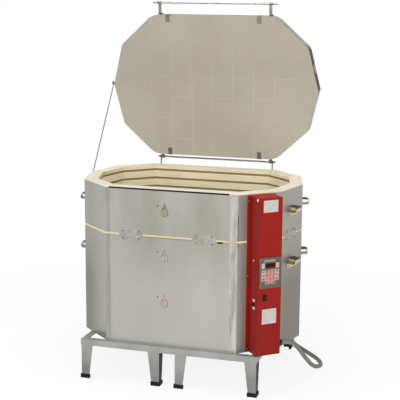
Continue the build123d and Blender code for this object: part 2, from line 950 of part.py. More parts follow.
def lid_plate(inset, bottom, height):
    """A plate of the lid's plan, with rounded corners."""
    plate = prism(outline(inset), bottom, height)
    for x, radius in ((half_long_side, lid_end_radius), (shoulder_x, lid_shoulder_radius)):
        edges = [
            edge for edge in plate.edges().filter_by(Axis.Z)
            if abs(abs(edge.center().X) - x) < 2 * lid_band_thickness]
        plate = fillet(edges, radius - inset)
    return plate


def lid_arm(x):
    """A flat bar over the lid, stepped down at both edges to an eye on each rod."""
    top = lid_bottom() + lid_thickness + arm_thickness / 2
    edge = half_depth + arm_thickness / 2 + arm_edge_gap
    front_rod = (-half_depth - grab_rod_reach, hinge_z)
    rear_rod = (hinge_y, hinge_z)
    into_eye = arm_eye_radius - rod_radius / 2
    points = [
        (front_rod[0] + into_eye, hinge_z), (-edge, hinge_z), (-edge, top), (edge, top),
        (edge, hinge_z), (rear_rod[0] - into_eye, hinge_z),
    ]
    strip = trace(FilletPolyline(*points, radius=arm_bend_radius), arm_thickness)
    eyes = Pos(*front_rod) * Circle(arm_eye_radius) + Pos(*rear_rod) * Circle(arm_eye_radius)
    profile = strip + eyes - Pos(*front_rod) * Circle(rod_radius + hinge_play)
    profile -= Pos(*rear_rod) * Circle(rod_radius + hinge_play)
    bar = extrude(profile, amount=arm_width / 2, both=True)
    return Plane(origin=(x, 0, 0), x_dir=(0, 1, 0), z_dir=(1, 0, 0)).location * bar


def arm_screw_places():
    """Three screws down each lid arm."""
    top = lid_bottom() + lid_thickness + arm_thickness
    outer = half_depth - arm_screw_inset
    return [Pos(x, y, top) for x in (-arm_x, arm_x) for y in (-outer, 0.0, outer)]


def lid_clip(x, y_way):
    """A steel clip over the edge of the lid, folded under it and let into the brick."""
    edge = half_depth + clip_thickness / 2 + clip_play
    low = lid_bottom() + clip_thickness / 2
    high = lid_bottom() + clip_rise
    points = [(y_way * (half_depth - clip_reach), low), (y_way * edge, low), (y_way * edge, high)]
    strip = trace(FilletPolyline(*points, radius=clip_thickness), clip_thickness)
    clip = extrude(strip, amount=clip_width / 2, both=True)
    return Plane(origin=(x, 0, 0), x_dir=(0, 1, 0), z_dir=(1, 0, 0)).location * clip


def clip_recess(x, y_way):
    """The shallow recess in the lid's underside that a clip's fold lies in."""
    width = clip_width + 2 * clip_recess_play
    depth = clip_thickness + clip_recess_play
    length = clip_reach + clip_recess_play + clip_thickness
    middle = half_depth - clip_reach - clip_recess_play + length / 2
    recess = Box(width, length, depth, align=(Align.CENTER, Align.CENTER, Align.MIN))
    return Pos(x, y_way * middle, lid_bottom()) * recess


def band_clamp(side):
    """The tightening screw of the lid's band, on the middle of a side."""
    block = flat(clamp_length, clamp_height, clamp_depth)
    reach = clamp_length / 2 - clamp_slot_inset
    for x in (-reach, reach):
        block -= Pos(x, 0, clamp_floor) * flat(clamp_slot, clamp_height, clamp_depth)
    bolt = Rot(0, 90, 0) * peg(clamp_bolt_radius, clamp_length + 2 * clamp_bolt_overhang)
    bolt = Pos(-clamp_length / 2 - clamp_bolt_overhang, 0, clamp_bolt_height) * bolt
    return side_frame(side, 0, lid_bottom() + lid_thickness / 2) * (block + bolt)


def nut():
    """A plain hexagon nut along X, at the end of a rod."""
    ring = extrude(RegularPolygon(nut_radius, 6), amount=nut_width)
    return Rot(0, 90, 0) * (ring - peg(rod_radius + hinge_play, nut_width))


def rod_along_x(half_length, y, z):
    """A round rod across the kiln."""
    return tube_between((-half_length, y, z), (half_length, y, z), rod_radius)


def end_nuts(half_length, y, z):
    """One nut at each end of a rod, just outside the arm or bracket."""
    return [Pos(half_length, y, z) * nut(), Pos(-half_length - nut_width, y, z) * nut()]


def hinge_bracket(way):
    """An upright bracket screwed to the rear of the jacket, with an eye for the rod."""
    inner = arm_x + arm_width / 2 + bracket_gap
    low, top = rim_height - bracket_below_rim, rim_height - bracket_top_below_rim
    blade_points = [
        (half_depth, low), (half_depth + bracket_toe, low),
        (hinge_y + arm_eye_radius, hinge_z - bracket_shoulder_below_rod),
        (hinge_y + arm_eye_radius, hinge_z), (hinge_y - arm_eye_radius, hinge_z),
        (hinge_y - arm_eye_radius, rim_height - bracket_neck_below_rim), (half_depth, top),
    ]
    eye = Pos(hinge_y, hinge_z)
    blade = make_face(Polyline(*blade_points, close=True)) + eye * Circle(arm_eye_radius)
    blade = extrude(blade - eye * Circle(rod_radius + hinge_play), amount=bracket_thickness)
    blade = Plane(origin=(inner, 0, 0), x_dir=(0, 1, 0), z_dir=(1, 0, 0)).location * blade
    foot_x = inner + bracket_thickness - bracket_width
    foot = Pos(foot_x, half_depth, low) * Box(
        bracket_width, bracket_foot_thickness, top - low, align=(Align.MIN, Align.MIN, Align.MIN))
    bracket = blade + foot
    if way < 0:
        bracket = bracket.mirror(Plane.YZ)
    return bracket


def make_lid():
    """Brick slab, band, clamps, clips, arms, rods and nuts, all in the open pose."""
    bottom = lid_bottom()
    clip_places = [(x, way) for x in (-clip_x, clip_x) for way in (-1, 1)]
    recesses = [clip_recess(x, way) for x, way in clip_places]
    grip = arm_thickness + screw_in_brick
    holes = [place * screw_hole(grip) for place in arm_screw_places()]
    slab = lid_plate(lid_band_thickness, bottom, lid_thickness)
    save("lid_slab", opened(slab - holes - recesses))
    band_low = bottom + lid_band_edge
    band_height = lid_thickness - 2 * lid_band_edge
    band = lid_plate(0.0, band_low, band_height)
    band -= lid_plate(lid_band_thickness, band_low, band_height)
    save("lid_band", opened(band - recesses - stay_bolt_hole()))
    save("lid_band_clamps", *[opened(band_clamp(side)) for side in (RIGHT_FRONT, LEFT_REAR)])
    save("lid_clips", *[opened(lid_clip(x, way)) for x, way in clip_places])
    save("lid_arms", *[opened(lid_arm(x) - holes) for x in (-arm_x, arm_x)])
    save("lid_arm_screws", *[opened(place * screw(grip)) for place in arm_screw_places()])
    grab_y = -half_depth - grab_rod_reach
    save("grab_rod", opened(rod_along_x(arm_x + grab_rod_overhang, grab_y, hinge_z)))
    nuts = end_nuts(arm_x + arm_width / 2 + nut_gap, grab_y, hinge_z)
    save("grab_rod_nuts", *[opened(piece) for piece in nuts])
    outside = arm_x + arm_width / 2 + bracket_gap + bracket_thickness
    save("hinge_brackets", hinge_bracket(-1), hinge_bracket(1))
    save("hinge_rod", rod_along_x(outside + nut_width + hinge_rod_overhang / 2, hinge_y, hinge_z))
    save("hinge_rod_nuts", *end_nuts(outside, hinge_y, hinge_z))


# Lid stay

def stay_places():
    """Bolt on the closed lid, bolt on the open lid and the eye, as Y and Z.

    The eye lies on the circle that the bolt runs on, so the rod turns half as fast as the lid.
    """
    closed = (0.0, lid_bottom() + lid_thickness / 2)
    y, z = closed[0] - hinge_y, closed[1] - hinge_z
    turn = radians(-lid_open_angle)
    opened_at = (hinge_y + y * cos(turn) - z * sin(turn), hinge_z + y * sin(turn) + z * cos(turn))
    circle = hypot(y, z)
    drop = hinge_z - (rim_height - stay_eye_below_rim)
    eye = (hinge_y - sqrt(circle * circle - drop * drop), hinge_z - drop)
    return closed, opened_at, eye


def stay_bolt_hole():
    """The hole in the band for the stay's bolt, on the closed lid."""
    (y, z), _, _ = stay_places()
    inside = -half_width + 4 * stay_bolt_radius
    return tube_between((inside, y, z), (stay_x, y, z), stay_bolt_radius + hinge_play)


def stay_bolt():
    """A shoulder bolt out of the lid's left corner, with its head outside the rod's ring."""
    (y, z), _, _ = stay_places()
    outer = stay_x - stay_rod_radius - stay_side_gap
    inner = stay_x + stay_rod_radius + stay_side_gap
    shank = tube_between((-half_width - 2 * hinge_play, y, z), (outer, y, z), stay_bolt_radius)
    spacer = tube_between((-half_width - 2 * hinge_play, y, z), (inner, y, z), stay_spacer_radius)
    head = tube_between((outer, y, z), (outer - stay_bolt_head_height, y, z), stay_bolt_head_radius)
    return opened(shank + spacer + head)


def stay_length():
    """From the lid's bolt to the eye, with the lid open."""
    _, (y, z), (eye_y, eye_z) = stay_places()
    return hypot(eye_y - y, eye_z - z)


def stay_point(reach):
    """A point on the rod's centre line, this far from the lid's bolt."""
    _, (y, z), (eye_y, eye_z) = stay_places()
    share = reach / stay_length()
    return (stay_x, y + (eye_y - y) * share, z + (eye_z - z) * share)


def stay_rod():
    """The rod, with a ring round the lid's bolt at its top and a collar at its lower end."""
    _, (y, z), _ = stay_places()
    half = stay_ring_width / 2
    ring_ends = (stay_x - half, y, z), (stay_x + half, y, z)
    middle_of_ring = (stay_pivot_ring + stay_bolt_radius) / 2
    rod = tube_between(stay_point(middle_of_ring), stay_point(stay_length() + stay_tail), stay_rod_radius)
    rod += tube_between(*ring_ends, stay_pivot_ring)
    bore_half = max(half, stay_rod_radius)
    bore_ends = (stay_x - bore_half, y, z), (stay_x + bore_half, y, z)
    return rod - tube_between(*bore_ends, stay_bolt_radius + hinge_play)


def stay_collar():
    """The collar that stops the lid: it meets the eye from below."""
    near = stay_length() + stay_eye_length / 2 + stay_collar_gap
    ends = stay_point(near), stay_point(near + stay_collar_height)
    return tube_between(*ends, stay_collar_radius) - tube_between(*ends, stay_rod_radius + hinge_play)


def stay_block_face(y):
    """Outer face of the block that carries the eye, measured from the jacket at this depth."""
    (x0, y0), u, _, _ = side_line(LEFT_REAR)
    return x0 + u[0] * (y - y0) / u[1] - stay_block_out


def stay_eye():
    """An eye that turns on its own shank and lets the rod slide through."""
    _, _, (eye_y, eye_z) = stay_places()
    length, half = stay_length(), stay_eye_length / 2
    drum = tube_between(stay_point(length - half), stay_point(length + half), stay_eye_ring)
    shank_start = (stay_x + (stay_eye_ring + stay_rod_radius) / 2, eye_y, eye_z)
    shank_end = (stay_block_face(eye_y) + stay_shank_depth, eye_y, eye_z)
    drum += tube_between(shank_start, shank_end, stay_shank_radius)
    bore_ends = stay_point(length - stay_eye_length), stay_point(length + stay_eye_length)
    return drum - tube_between(*bore_ends, stay_rod_radius + stay_play)


def stay_bracket():
    """A small block on the jacket's left corner that the eye's shank turns in."""
    _, _, (eye_y, eye_z) = stay_places()
    face = stay_block_face(eye_y)
    block = Pos(face, eye_y, eye_z) * Box(
        stay_block_depth, stay_block_width, stay_block_height,
        align=(Align.MIN, Align.CENTER, Align.CENTER))
    block -= prism(outline(-hinge_play), eye_z - stay_block_height, 2 * stay_block_height)
    bore_ends = (face, eye_y, eye_z), (face + stay_block_depth, eye_y, eye_z)
    return block - tube_between(*bore_ends, stay_shank_radius + hinge_play)


def make_stay():
    """Bolt, rod, collar, eye and bracket."""
    save("stay_bolt", stay_bolt())
    save("stay_rod", stay_rod())
    save("stay_collar", stay_collar())
    save("stay_eye", stay_eye())
    save("stay_bracket", stay_bracket())


# Control box

def box_bottom():
    """Lower end of the control box."""
    return stand_height + box_above_stand


def box_top():
    """Upper end of the control box."""
    return rim_height - box_below_rim


def on_box(across, below_top, out=0.0):
    """A place on the box's front side, measured from its left edge and its top."""
    return side_frame(FRONT_RIGHT, box_along - box_width / 2 + across, box_top() - below_top, out)


def on_box_wall(way, out, below_top):
    """A place on one of the box's narrow walls; local Z points away from the wall."""
    (x0, y0), u, n, length = side_line(FRONT_RIGHT)
    reach = length / 2 + box_along + way * box_width / 2
    origin = (x0 + u[0] * reach + n[0] * out, y0 + u[1] * reach + n[1] * out, box_top() - below_top)
    return Plane(origin=origin, x_dir=(n[0], n[1], 0), z_dir=(u[0] * way, u[1] * way, 0)).location


def box_screw_places():
    """Three screws down each flange of the box."""
    places = []
    lowest = box_top() - box_bottom() - box_screw_from_bottom
    for below in (box_screw_from_top, (box_screw_from_top + lowest) / 2, lowest):
        for edge in (-flange_width / 2, box_width + flange_width / 2):
            places.append(on_box(edge, below, 2 * box_sheet))
    return places


def box_screw_grip():
    """The flange, the back plate and the jacket, which a box screw holds together."""
    return 2 * box_sheet + jacket_thickness


def controller_centre():
    """Middle of the controller, across the box and below its top."""
    return box_width / 2, panel_below_top


def rocker_centre():
    """Middle of the power rocker."""
    return box_width / 2 + rocker_along, rocker_below_top


def box_shell():
    """The folded cover: five walls, open at the back, with a flange down each side."""
    middle, height = (box_bottom() + box_top()) / 2, box_top() - box_bottom()
    inner_width, inner_height = box_width - 2 * box_sheet, height - 2 * box_sheet
    shell = flat(box_width, height, box_depth - box_sheet)
    shell += flat(box_width + 2 * flange_width, height, box_sheet)
    shell -= flat(inner_width, inner_height, box_depth - 2 * box_sheet)
    return side_frame(FRONT_RIGHT, box_along, middle, box_sheet) * shell


def controller_window():
    """Inner width and height of the controller's bezel, which the opening behind it follows."""
    return panel_width - 2 * (bezel_rim + panel_ledge), panel_height - 2 * (bezel_rim + panel_ledge)


def rocker_body_size():
    """Width and height of the rocker's housing behind its lip."""
    return rocker_width - 2 * rocker_lip_width, rocker_height - 2 * rocker_lip_height


def box_openings():
    """Every opening in the cover's face and in its two long walls."""
    face_depth = box_depth - box_sheet
    cuts = [on_box(*controller_centre(), face_depth) * flat(*controller_window(), box_sheet)]
    width, height = rocker_body_size()
    slot = flat(width + 2 * rivet_play, height + 2 * rivet_play, box_sheet)
    cuts.append(on_box(*rocker_centre(), face_depth) * slot)
    through_wall = Pos(0, 0, -box_sheet)
    bush = through_wall * peg(toggle_bush_radius + rivet_play, box_sheet)
    cuts.append(on_box_wall(-1, toggle_out, toggle_below_top) * bush)
    thread = through_wall * peg(gland_thread_radius, box_sheet)
    cuts.append(on_box_wall(1, gland_out, gland_below_top) * thread)
    for out, below, radius in button_places():
        hole = through_wall * peg(radius - button_lip + button_play, box_sheet)
        cuts.append(on_box_wall(-1, out, below) * hole)
    return cuts


def make_box():
    """The box's back plate, its cover with every opening, and its screws."""
    bottom, top = box_bottom(), box_top()
    holes = [place * screw_hole(box_screw_grip()) for place in box_screw_places()]
    entries = [hole for course in course_bottoms() for hole in terminal_holes(course)]
    back = flat(box_width + 2 * flange_width, top - bottom, box_sheet)
    back = side_frame(FRONT_RIGHT, box_along, (bottom + top) / 2) * back
    save("box_back", back - holes - entries - thermocouple_hole())
    save("box_cover", box_shell() - box_openings() - holes)
    save("box_screws", *[place * screw(box_screw_grip()) for place in box_screw_places()])


def button_places():
    """Two blanking buttons in the box's left wall: out, below the top, radius."""
    return [
        (small_button_out, small_button_below_top, small_button_radius),
        (button_out, button_below_top, button_radius),
    ]


def make_controller():
    """Bezel, keypad sheet, display and circuit board of the controller."""
    centre = controller_centre()
    inner_width, inner_height = panel_width - 2 * bezel_rim, panel_height - 2 * bezel_rim
    bezel = flat(panel_width, panel_height, panel_thickness)
    bezel = fillet(bezel.edges().filter_by(Axis.Z), panel_corner)
    bezel = chamfer(bezel.edges().group_by(Axis.Z)[-1], panel_chamfer)
    bezel -= Pos(0, 0, panel_thickness - panel_recess) * flat(inner_width, inner_height, panel_recess)
    bezel -= flat(*controller_window(), panel_thickness)
    save("controller_bezel", on_box(*centre, box_depth) * bezel)
    seat = box_depth + panel_thickness - panel_recess
    middle_of_display = Pos(0, display_above_middle, 0)
    window = middle_of_display * flat(display_width, display_height, overlay_thickness)
    sheet = flat(inner_width, inner_height, overlay_thickness)
    save("controller_keypad", on_box(*centre, seat) * (sheet - window + key_pads()))
    board_face = box_depth - box_sheet - board_gap
    glass = flat(display_width, display_height, seat + overlay_thickness - board_face)
    save("controller_display", on_box(*centre, board_face) * middle_of_display * glass)
    board = flat(inner_width - 2 * board_inset, inner_height - 2 * board_inset, board_thickness)
    post_x, post_y = inner_width / 2 - post_inset, inner_height / 2 - post_inset
    post = peg(post_radius, seat - board_face)
    posts = [Pos(x, y, 0) * post for x in (-post_x, post_x) for y in (-post_y, post_y)]
    save("controller_board", on_box(*centre, board_face) * (Pos(0, 0, -board_thickness) * board + posts))


def key_pads():
    """The raised keys: two beside the display, a block of twelve with a column on each side."""
    thickness = overlay_thickness + key_rise
    side_key = flat(side_key_width, side_key_height, thickness)
    reach = display_width / 2 + side_key_gap
    heights = [display_above_middle + way * side_key_pitch / 2 for way in (-1, 1)]
    pads = [Pos(x, y, 0) * side_key for x in (-reach, reach) for y in heights]
    key = flat(key_width, key_height, thickness)
    for column in range(key_column_count):
        x = (column - (key_column_count - 1) / 2) * key_pitch_x
        for row in range(key_row_count):
            pads.append(Pos(x, key_top - row * key_pitch_y, 0) * key)
    return pads


def cross_pin(start, length, height, radius):
    """A short pin along X that starts at a wall of the rocker's housing."""
    return tube_between((start, 0, height), (start + length, 0, height), radius)


def rocker_paddle(width, height):
    """The rocker itself, level: a shallow V on top and a narrower foot below."""
    half = height / 2
    top = rocker_lip + paddle_rise
    dip = half * tan(radians(rocker_travel)) * paddle_dip
    points = [
        (-half, top), (0, top - dip), (half, top), (half / 2, -paddle_foot), (-half / 2, -paddle_foot)]
    paddle = extrude(make_face(Polyline(*points, close=True)), amount=width / 2, both=True)
    return Plane(origin=(0, 0, 0), x_dir=(0, 1, 0), z_dir=(1, 0, 0)).location * paddle


def make_rocker():
    """The power switch: its housing in the cover and the rocker that tips in it."""
    place = on_box(*rocker_centre(), box_depth)
    width, height = rocker_body_size()
    inner_width, inner_height = width - 2 * rocker_wall, height - 2 * rocker_wall
    housing = flat(rocker_width, rocker_height, rocker_lip)
    housing += Pos(0, 0, -rocker_body) * flat(width, height, rocker_body)
    cavity = flat(inner_width, inner_height, rocker_body + rocker_lip)
    housing -= Pos(0, 0, rocker_floor - rocker_body) * cavity
    paddle = rocker_paddle(inner_width - 2 * rocker_play, inner_height - 2 * rocker_end_play)
    bore_length = rocker_pin_length + rocker_pin_play
    bore_radius = rocker_pin_radius + rocker_pin_play
    for way in (-1, 1):
        wall = way * inner_width / 2
        housing += cross_pin(wall, -way * rocker_pin_length, rocker_axis, rocker_pin_radius)
        paddle -= cross_pin(wall, -way * bore_length, rocker_axis, bore_radius)
    tilt = Pos(0, 0, rocker_axis) * Rot(rocker_travel, 0, 0) * Pos(0, 0, -rocker_axis)
    save("rocker_housing", place * housing)
    save("rocker", place * tilt * paddle)


def make_toggle():
    """The small toggle switch in the box's left wall, its lever on a cross pin."""
    place = on_box_wall(-1, toggle_out, toggle_below_top) * Pos(0, 0, -box_sheet)
    pin_half = toggle_ball_radius + toggle_pin_overhang
    body = Pos(0, 0, -toggle_case) * flat(toggle_case, toggle_case, toggle_case)
    body += peg(toggle_bush_radius, toggle_bush_length + box_sheet)
    nut_face = RegularPolygon(toggle_bush_radius + toggle_nut_wall, 6)
    body += Pos(0, 0, box_sheet) * extrude(nut_face, amount=toggle_nut_height)
    body -= Sphere(toggle_ball_radius + toggle_ball_play)
    body -= Cone(
        toggle_throat_radius, toggle_mouth_radius, toggle_bush_length + box_sheet,
        align=(Align.CENTER, Align.CENTER, Align.MIN))
    bore_half = pin_half + toggle_pin_play
    body -= cross_pin(-bore_half, 2 * bore_half, 0, toggle_pin_radius + toggle_pin_play)
    save("toggle_body", place * body)
    lever = Sphere(toggle_ball_radius) + peg(toggle_stick_radius, toggle_stick_length)
    lever += Pos(0, 0, toggle_stick_length) * Sphere(toggle_knob_radius)
    lever += cross_pin(-pin_half, 2 * pin_half, 0, toggle_pin_radius)
    save("toggle_lever", place * Rot(toggle_travel / 2, 0, 0) * lever)


def blanking_button(radius):
    """A moulded button with a stem that snaps into the wall behind it."""
    button = chamfer(peg(radius, button_height).edges().group_by(Axis.Z)[-1], button_chamfer)
    return button + Pos(0, 0, -button_stem_length) * peg(radius - button_lip, button_stem_length)


def terminal_block():
    """A ceramic block with three slots for the supply's wires."""
    block = flat(terminal_block_width, terminal_block_height, terminal_block_depth)
    slot = flat(terminal_slot_width, terminal_slot_height, terminal_slot_depth)
    for step in (-1, 0, 1):
        block -= Pos(step * terminal_slot_pitch, 0, terminal_block_depth - terminal_slot_depth) * slot
    return block


def cord_gland():
    """A screwed gland: a thread through the box's wall, a hexagon, a body and a domed nut."""
    body_length = gland_length - gland_dome_length
    gland = peg(gland_body_radius, body_length)
    gland += extrude(RegularPolygon(gland_hexagon_radius, 6), amount=gland_hexagon_length)
    standing = (Align.CENTER, Align.CENTER, Align.MIN)
    dome = Cone(gland_body_radius, gland_dome_radius, gland_dome_length, align=standing)
    gland += Pos(0, 0, body_length) * dome
    thread = box_sheet + gland_thread_inside
    gland += Pos(0, 0, -thread) * peg(gland_thread_radius - gland_thread_play, thread)
    return gland - Pos(0, 0, gland_shoulder) * peg(cord_radius + gland_bore_play, gland_length)


def make_box_fittings():
    """Blank plates, blanking buttons, relays, terminal block and gland."""
    plates = []
    upper = (upper_label_height, upper_label_below_top)
    lower = (lower_label_height, lower_label_below_top)
    for height, below in (upper, lower):
        plates.append(on_box(box_width / 2, below, box_depth) * flat(label_width, height, label_thickness))
    save("blank_plates", *plates)
    buttons = []
    for out, below, radius in button_places():
        buttons.append(on_box_wall(-1, out, below) * blanking_button(radius))
    save("blanking_buttons", *buttons)
    relay = flat(relay_width, relay_height, relay_depth)
    relays = []
    for share in relay_shares:
        height = box_bottom() + (box_top() - box_bottom()) * share
        relays.append(side_frame(FRONT_RIGHT, relay_along, height, box_sheet) * relay)
    save("relays", *relays)
    height = box_bottom() + terminal_block_above_bottom
    save("terminal_block", side_frame(FRONT_RIGHT, 0, height, box_sheet) * terminal_block())
    save("cord_gland", on_box_wall(1, gland_out, gland_below_top) * cord_gland())


# Supply cord, its put-away coil and its plug

def gland_mouth():
    """The shoulder in the gland where the cord ends."""
    place = on_box_wall(1, gland_out, gland_below_top) * Pos(0, 0, gland_shoulder)
    return tuple(place.position)


def cord_points():
    """Corners of the cord's free stretch, from the gland to the coil behind the kiln."""
    x, y, z = gland_mouth()
    _, u, _, _ = side_line(FRONT_RIGHT)
    lead = coil_point(0.0)
    ahead = coil_heading(0.0)
    approach = coil_lead + coil_approach
    floor = cord_radius
    return [
        (x, y, z),
        (x + u[0] * gland_run, y + u[1] * gland_run, z),
        (579.0, -206.0, 233.0),
        (599.0, -146.0, 187.0),
        (619.0, -70.0, 113.0),
        (643.0, 28.0, 34.0),
        (668.0, 114.0, floor),
        (648.0, 190.0, floor),
        (588.0, 272.0, floor),
        (508.0, 364.0, floor),
        (440.0, 452.0, floor),
        (lead[0] - ahead[0] * approach, lead[1] - ahead[1] * approach, floor),
        (lead[0] - ahead[0] * coil_lead, lead[1] - ahead[1] * coil_lead, floor),
    ]


def print_cord_turns(points, radii):
    """List the radius of each bend."""
    print("cord bends", [round(radius) for radius in radii])
    runs = [(Vector(*b) - Vector(*a)).length for a, b in zip(points[:-1], points[1:])]
    print("cord runs", [round(run) for run in runs])


def bend_radii(points):
    """As large an arc at each corner as its two runs allow."""
    radii = []
    for before, here, after in zip(points[:-2], points[1:-1], points[2:]):
        first, second = Vector(*here) - Vector(*before), Vector(*after) - Vector(*here)
        turn = radians(first.get_angle(second))
        radii.append(0.45 * min(first.length, second.length) / tan(turn / 2))
    return radii


def tube(path, radius):
    """A round tube along a path."""
    start = Plane(origin=path @ 0, z_dir=path % 0)
    return sweep(start * Circle(radius), path=path)


def coil_radius_and_height(turn):
    """Radius and height of the coil's centre line: in, up a layer, and out again."""
    outer = coil_turn_radius + coil_pitch * coil_turns_in / 2
    bottom, top = cord_radius, cord_radius + coil_layer
    reversal = coil_turns_in + coil_climb_turns / 2
    if turn <= reversal:
        radius = outer - coil_pitch * turn
    else:
        radius = outer - coil_pitch * reversal + coil_pitch * (turn - reversal)
    climb = min(max((turn - coil_turns_in) / coil_climb_turns, 0.0), 1.0)
    return radius, bottom + (top - bottom) * climb


def coil_point(turn):
    """A point of the coil's centre line."""
    radius, height = coil_radius_and_height(turn)
    angle = radians(coil_start_angle) + 2 * pi * turn
    return (coil_centre[0] + radius * cos(angle), coil_centre[1] + radius * sin(angle), height)


def coil_heading(turn):
    """Level direction of the coil at a point."""
    angle = radians(coil_start_angle) + 2 * pi * turn
    return (-sin(angle), cos(angle), 0.0)


def coil_path():
    """Quarter-turn biarcs through the coil's points, with a straight lead at each end."""
    total = coil_turns_in + coil_climb_turns + coil_turns_out
    steps = round(total * 4)
    edges = []
    start, end = Vector(*coil_point(0.0)), Vector(*coil_point(total))
    ahead, away = Vector(*coil_heading(0.0)), Vector(*coil_heading(total))
    edges.append(Line(start - ahead * coil_lead, start))
    for step in range(steps):
        low, high = total * step / steps, total * (step + 1) / steps
        edges += biarc(coil_point(low), coil_tangent(low), coil_point(high), coil_tangent(high))
    edges.append(Line(end, end + away * coil_tail))
    return Wire(edges)


def coil_tangent(turn):
    """Unit direction of travel along the coil."""
    total = coil_turns_in + coil_climb_turns + coil_turns_out
    if turn <= 0 or turn >= total:
        return Vector(*coil_heading(turn))
    step = 0.001
    way = Vector(*coil_point(turn + step)) - Vector(*coil_point(turn - step))
    return way.normalized()


def biarc(start, start_way, end, end_way):
    """Two arcs that leave one point and reach the next in the given directions."""
    smallest = 1e-9
    p, q = Vector(*start), Vector(*end)
    t, s = start_way, end_way
    chord = q - p
    both = t + s
    a = 2 * (1 - t.dot(s))
    b = 2 * chord.dot(both)
    c = -chord.dot(chord)
    if abs(a) < smallest:
        reach = -c / b
    else:
        reach = (-b + sqrt(b * b - 4 * a * c)) / (2 * a)
    joint = (p + q + (t - s) * reach) * 0.5
    return [
        ThreePointArc(p, arc_middle(p, t, joint), joint),
        ThreePointArc(joint, arc_middle(q, s * -1, joint), q),
    ]


def arc_middle(point, way, other):
    """Middle of the arc that leaves a point in a direction and reaches another."""
    chord = other - point
    length = chord.length
    across = chord.normalized()
    cosine = max(-1.0, min(1.0, way.dot(across)))
    half = sqrt(max(0.0, (1 - cosine) / 2)) / sqrt((1 + cosine) / 2)
    side = way - across * cosine
    side = side.normalized()
    return point + chord * 0.5 + side * (length / 2 * half)


def coil_gap():
    """Smallest clear gap between one turn of the coil and another."""
    total = coil_turns_in + coil_climb_turns + coil_turns_out
    steps_in_a_turn = 180
    count = round(total * steps_in_a_turn)
    points = [Vector(*coil_point(index / steps_in_a_turn)) for index in range(count + 1)]
    least = coil_turn_radius
    for first in range(count):
        for second in range(first + steps_in_a_turn // 2, count + 1):
            least = min(least, (points[second] - points[first]).length)
    return least - 2 * cord_radius


def print_tube(name, path, solid):
    """Give a tube's length, and its volume as a share of its section times its length."""
    share = solid.volume / (pi * cord_radius ** 2 * path.length)
    print(name, "length", round(path.length), "volume share", round(share, 4))


def make_plug():
    """The moulded plug at the coil's end, with two flat blades and a round ground pin."""
    total = coil_turns_in + coil_climb_turns + coil_turns_out
    away = Vector(*coil_heading(total))
    end = Vector(*coil_point(total)) + away * coil_tail
    place = Plane(origin=end, x_dir=(0, 0, 1), z_dir=away).location
    face = plug_relief + plug_long
    body = flat(2 * end.Z, plug_width, plug_long)
    body = Pos(0, 0, plug_relief) * fillet(body.edges().filter_by(Axis.Z), plug_corner)
    blade = flat(blade_width, blade_thickness, blade_length)
    pins = [Pos(blade_height, side * blade_offset, face) * blade for side in (-1, 1)]
    pins.append(Pos(-ground_pin_height, 0, face) * peg(ground_pin_radius, blade_length))
    save("cord_plug", place * (peg(plug_relief_radius, plug_relief) + body))
    save("plug_blades", *[place * pin for pin in pins])


def make_cord():
    """The cord's free stretch and its coil."""
    points = cord_points()
    radii = bend_radii(points)
    print_cord_turns(points, radii)
    path = FilletPolyline(*points, radius=radii)
    cord = tube(path, cord_radius)
    print_tube("cord", path, cord)
    save("power_cord", cord)
    wire = coil_path()
    coil = tube(wire, cord_radius)
    print_tube("coil", wire, coil)
    print("coil gap", round(coil_gap(), 2))
    save("cord_coil", coil)


make_stand()
make_bricks()
make_electrics_inside()
make_jacket()
make_lid()
make_stay()
make_box()
make_controller()
make_rocker()
make_toggle()
make_box_fittings()
make_cord()
make_plug()
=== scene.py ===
import json
from math import cos, pi, radians, sin

import bmesh
import bpy
from mathutils import Matrix, Vector

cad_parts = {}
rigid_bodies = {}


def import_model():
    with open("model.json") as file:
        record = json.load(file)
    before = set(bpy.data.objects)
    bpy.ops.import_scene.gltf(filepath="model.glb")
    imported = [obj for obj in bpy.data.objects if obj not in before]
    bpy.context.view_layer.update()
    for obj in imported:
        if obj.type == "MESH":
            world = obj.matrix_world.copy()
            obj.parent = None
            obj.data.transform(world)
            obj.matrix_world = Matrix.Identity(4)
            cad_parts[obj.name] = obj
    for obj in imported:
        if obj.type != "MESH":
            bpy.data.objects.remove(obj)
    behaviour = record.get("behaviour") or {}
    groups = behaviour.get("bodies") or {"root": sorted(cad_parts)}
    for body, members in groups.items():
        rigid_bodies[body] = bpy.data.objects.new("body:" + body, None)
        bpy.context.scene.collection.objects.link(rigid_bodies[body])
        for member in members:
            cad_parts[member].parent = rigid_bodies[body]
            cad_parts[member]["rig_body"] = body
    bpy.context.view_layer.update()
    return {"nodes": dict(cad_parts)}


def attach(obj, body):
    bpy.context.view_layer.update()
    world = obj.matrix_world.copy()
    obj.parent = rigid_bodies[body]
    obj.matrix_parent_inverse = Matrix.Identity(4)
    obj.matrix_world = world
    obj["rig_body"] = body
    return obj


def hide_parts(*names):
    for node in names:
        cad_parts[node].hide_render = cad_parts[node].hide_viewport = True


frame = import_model()

# The view is that of someone standing in front of the kiln, a little to its right and higher than its
# rim. The lens is long, as in a catalogue picture, so the kiln keeps its true proportions.
view = bpy.data.objects.new("view", bpy.data.cameras.new("view"))
bpy.context.scene.collection.objects.link(view)
bpy.context.scene.camera = view
view.data.sensor_width = 36.0
view.data.lens = 99.31
view.data.clip_end = 60.0
view_place = (1.6749, -5.3530, 1.9671)
view_turn, view_tilt, view_roll = 17.09, -11.03, -0.40
heading = Matrix.Rotation(radians(view_turn), 4, "Z")
heading = heading @ Matrix.Rotation(radians(view_tilt), 4, "X")
heading = heading @ Matrix.Rotation(radians(view_roll), 4, "Y")
heading = heading @ Matrix.Rotation(pi / 2, 4, "X")
view.matrix_world = Matrix.Translation(view_place) @ heading


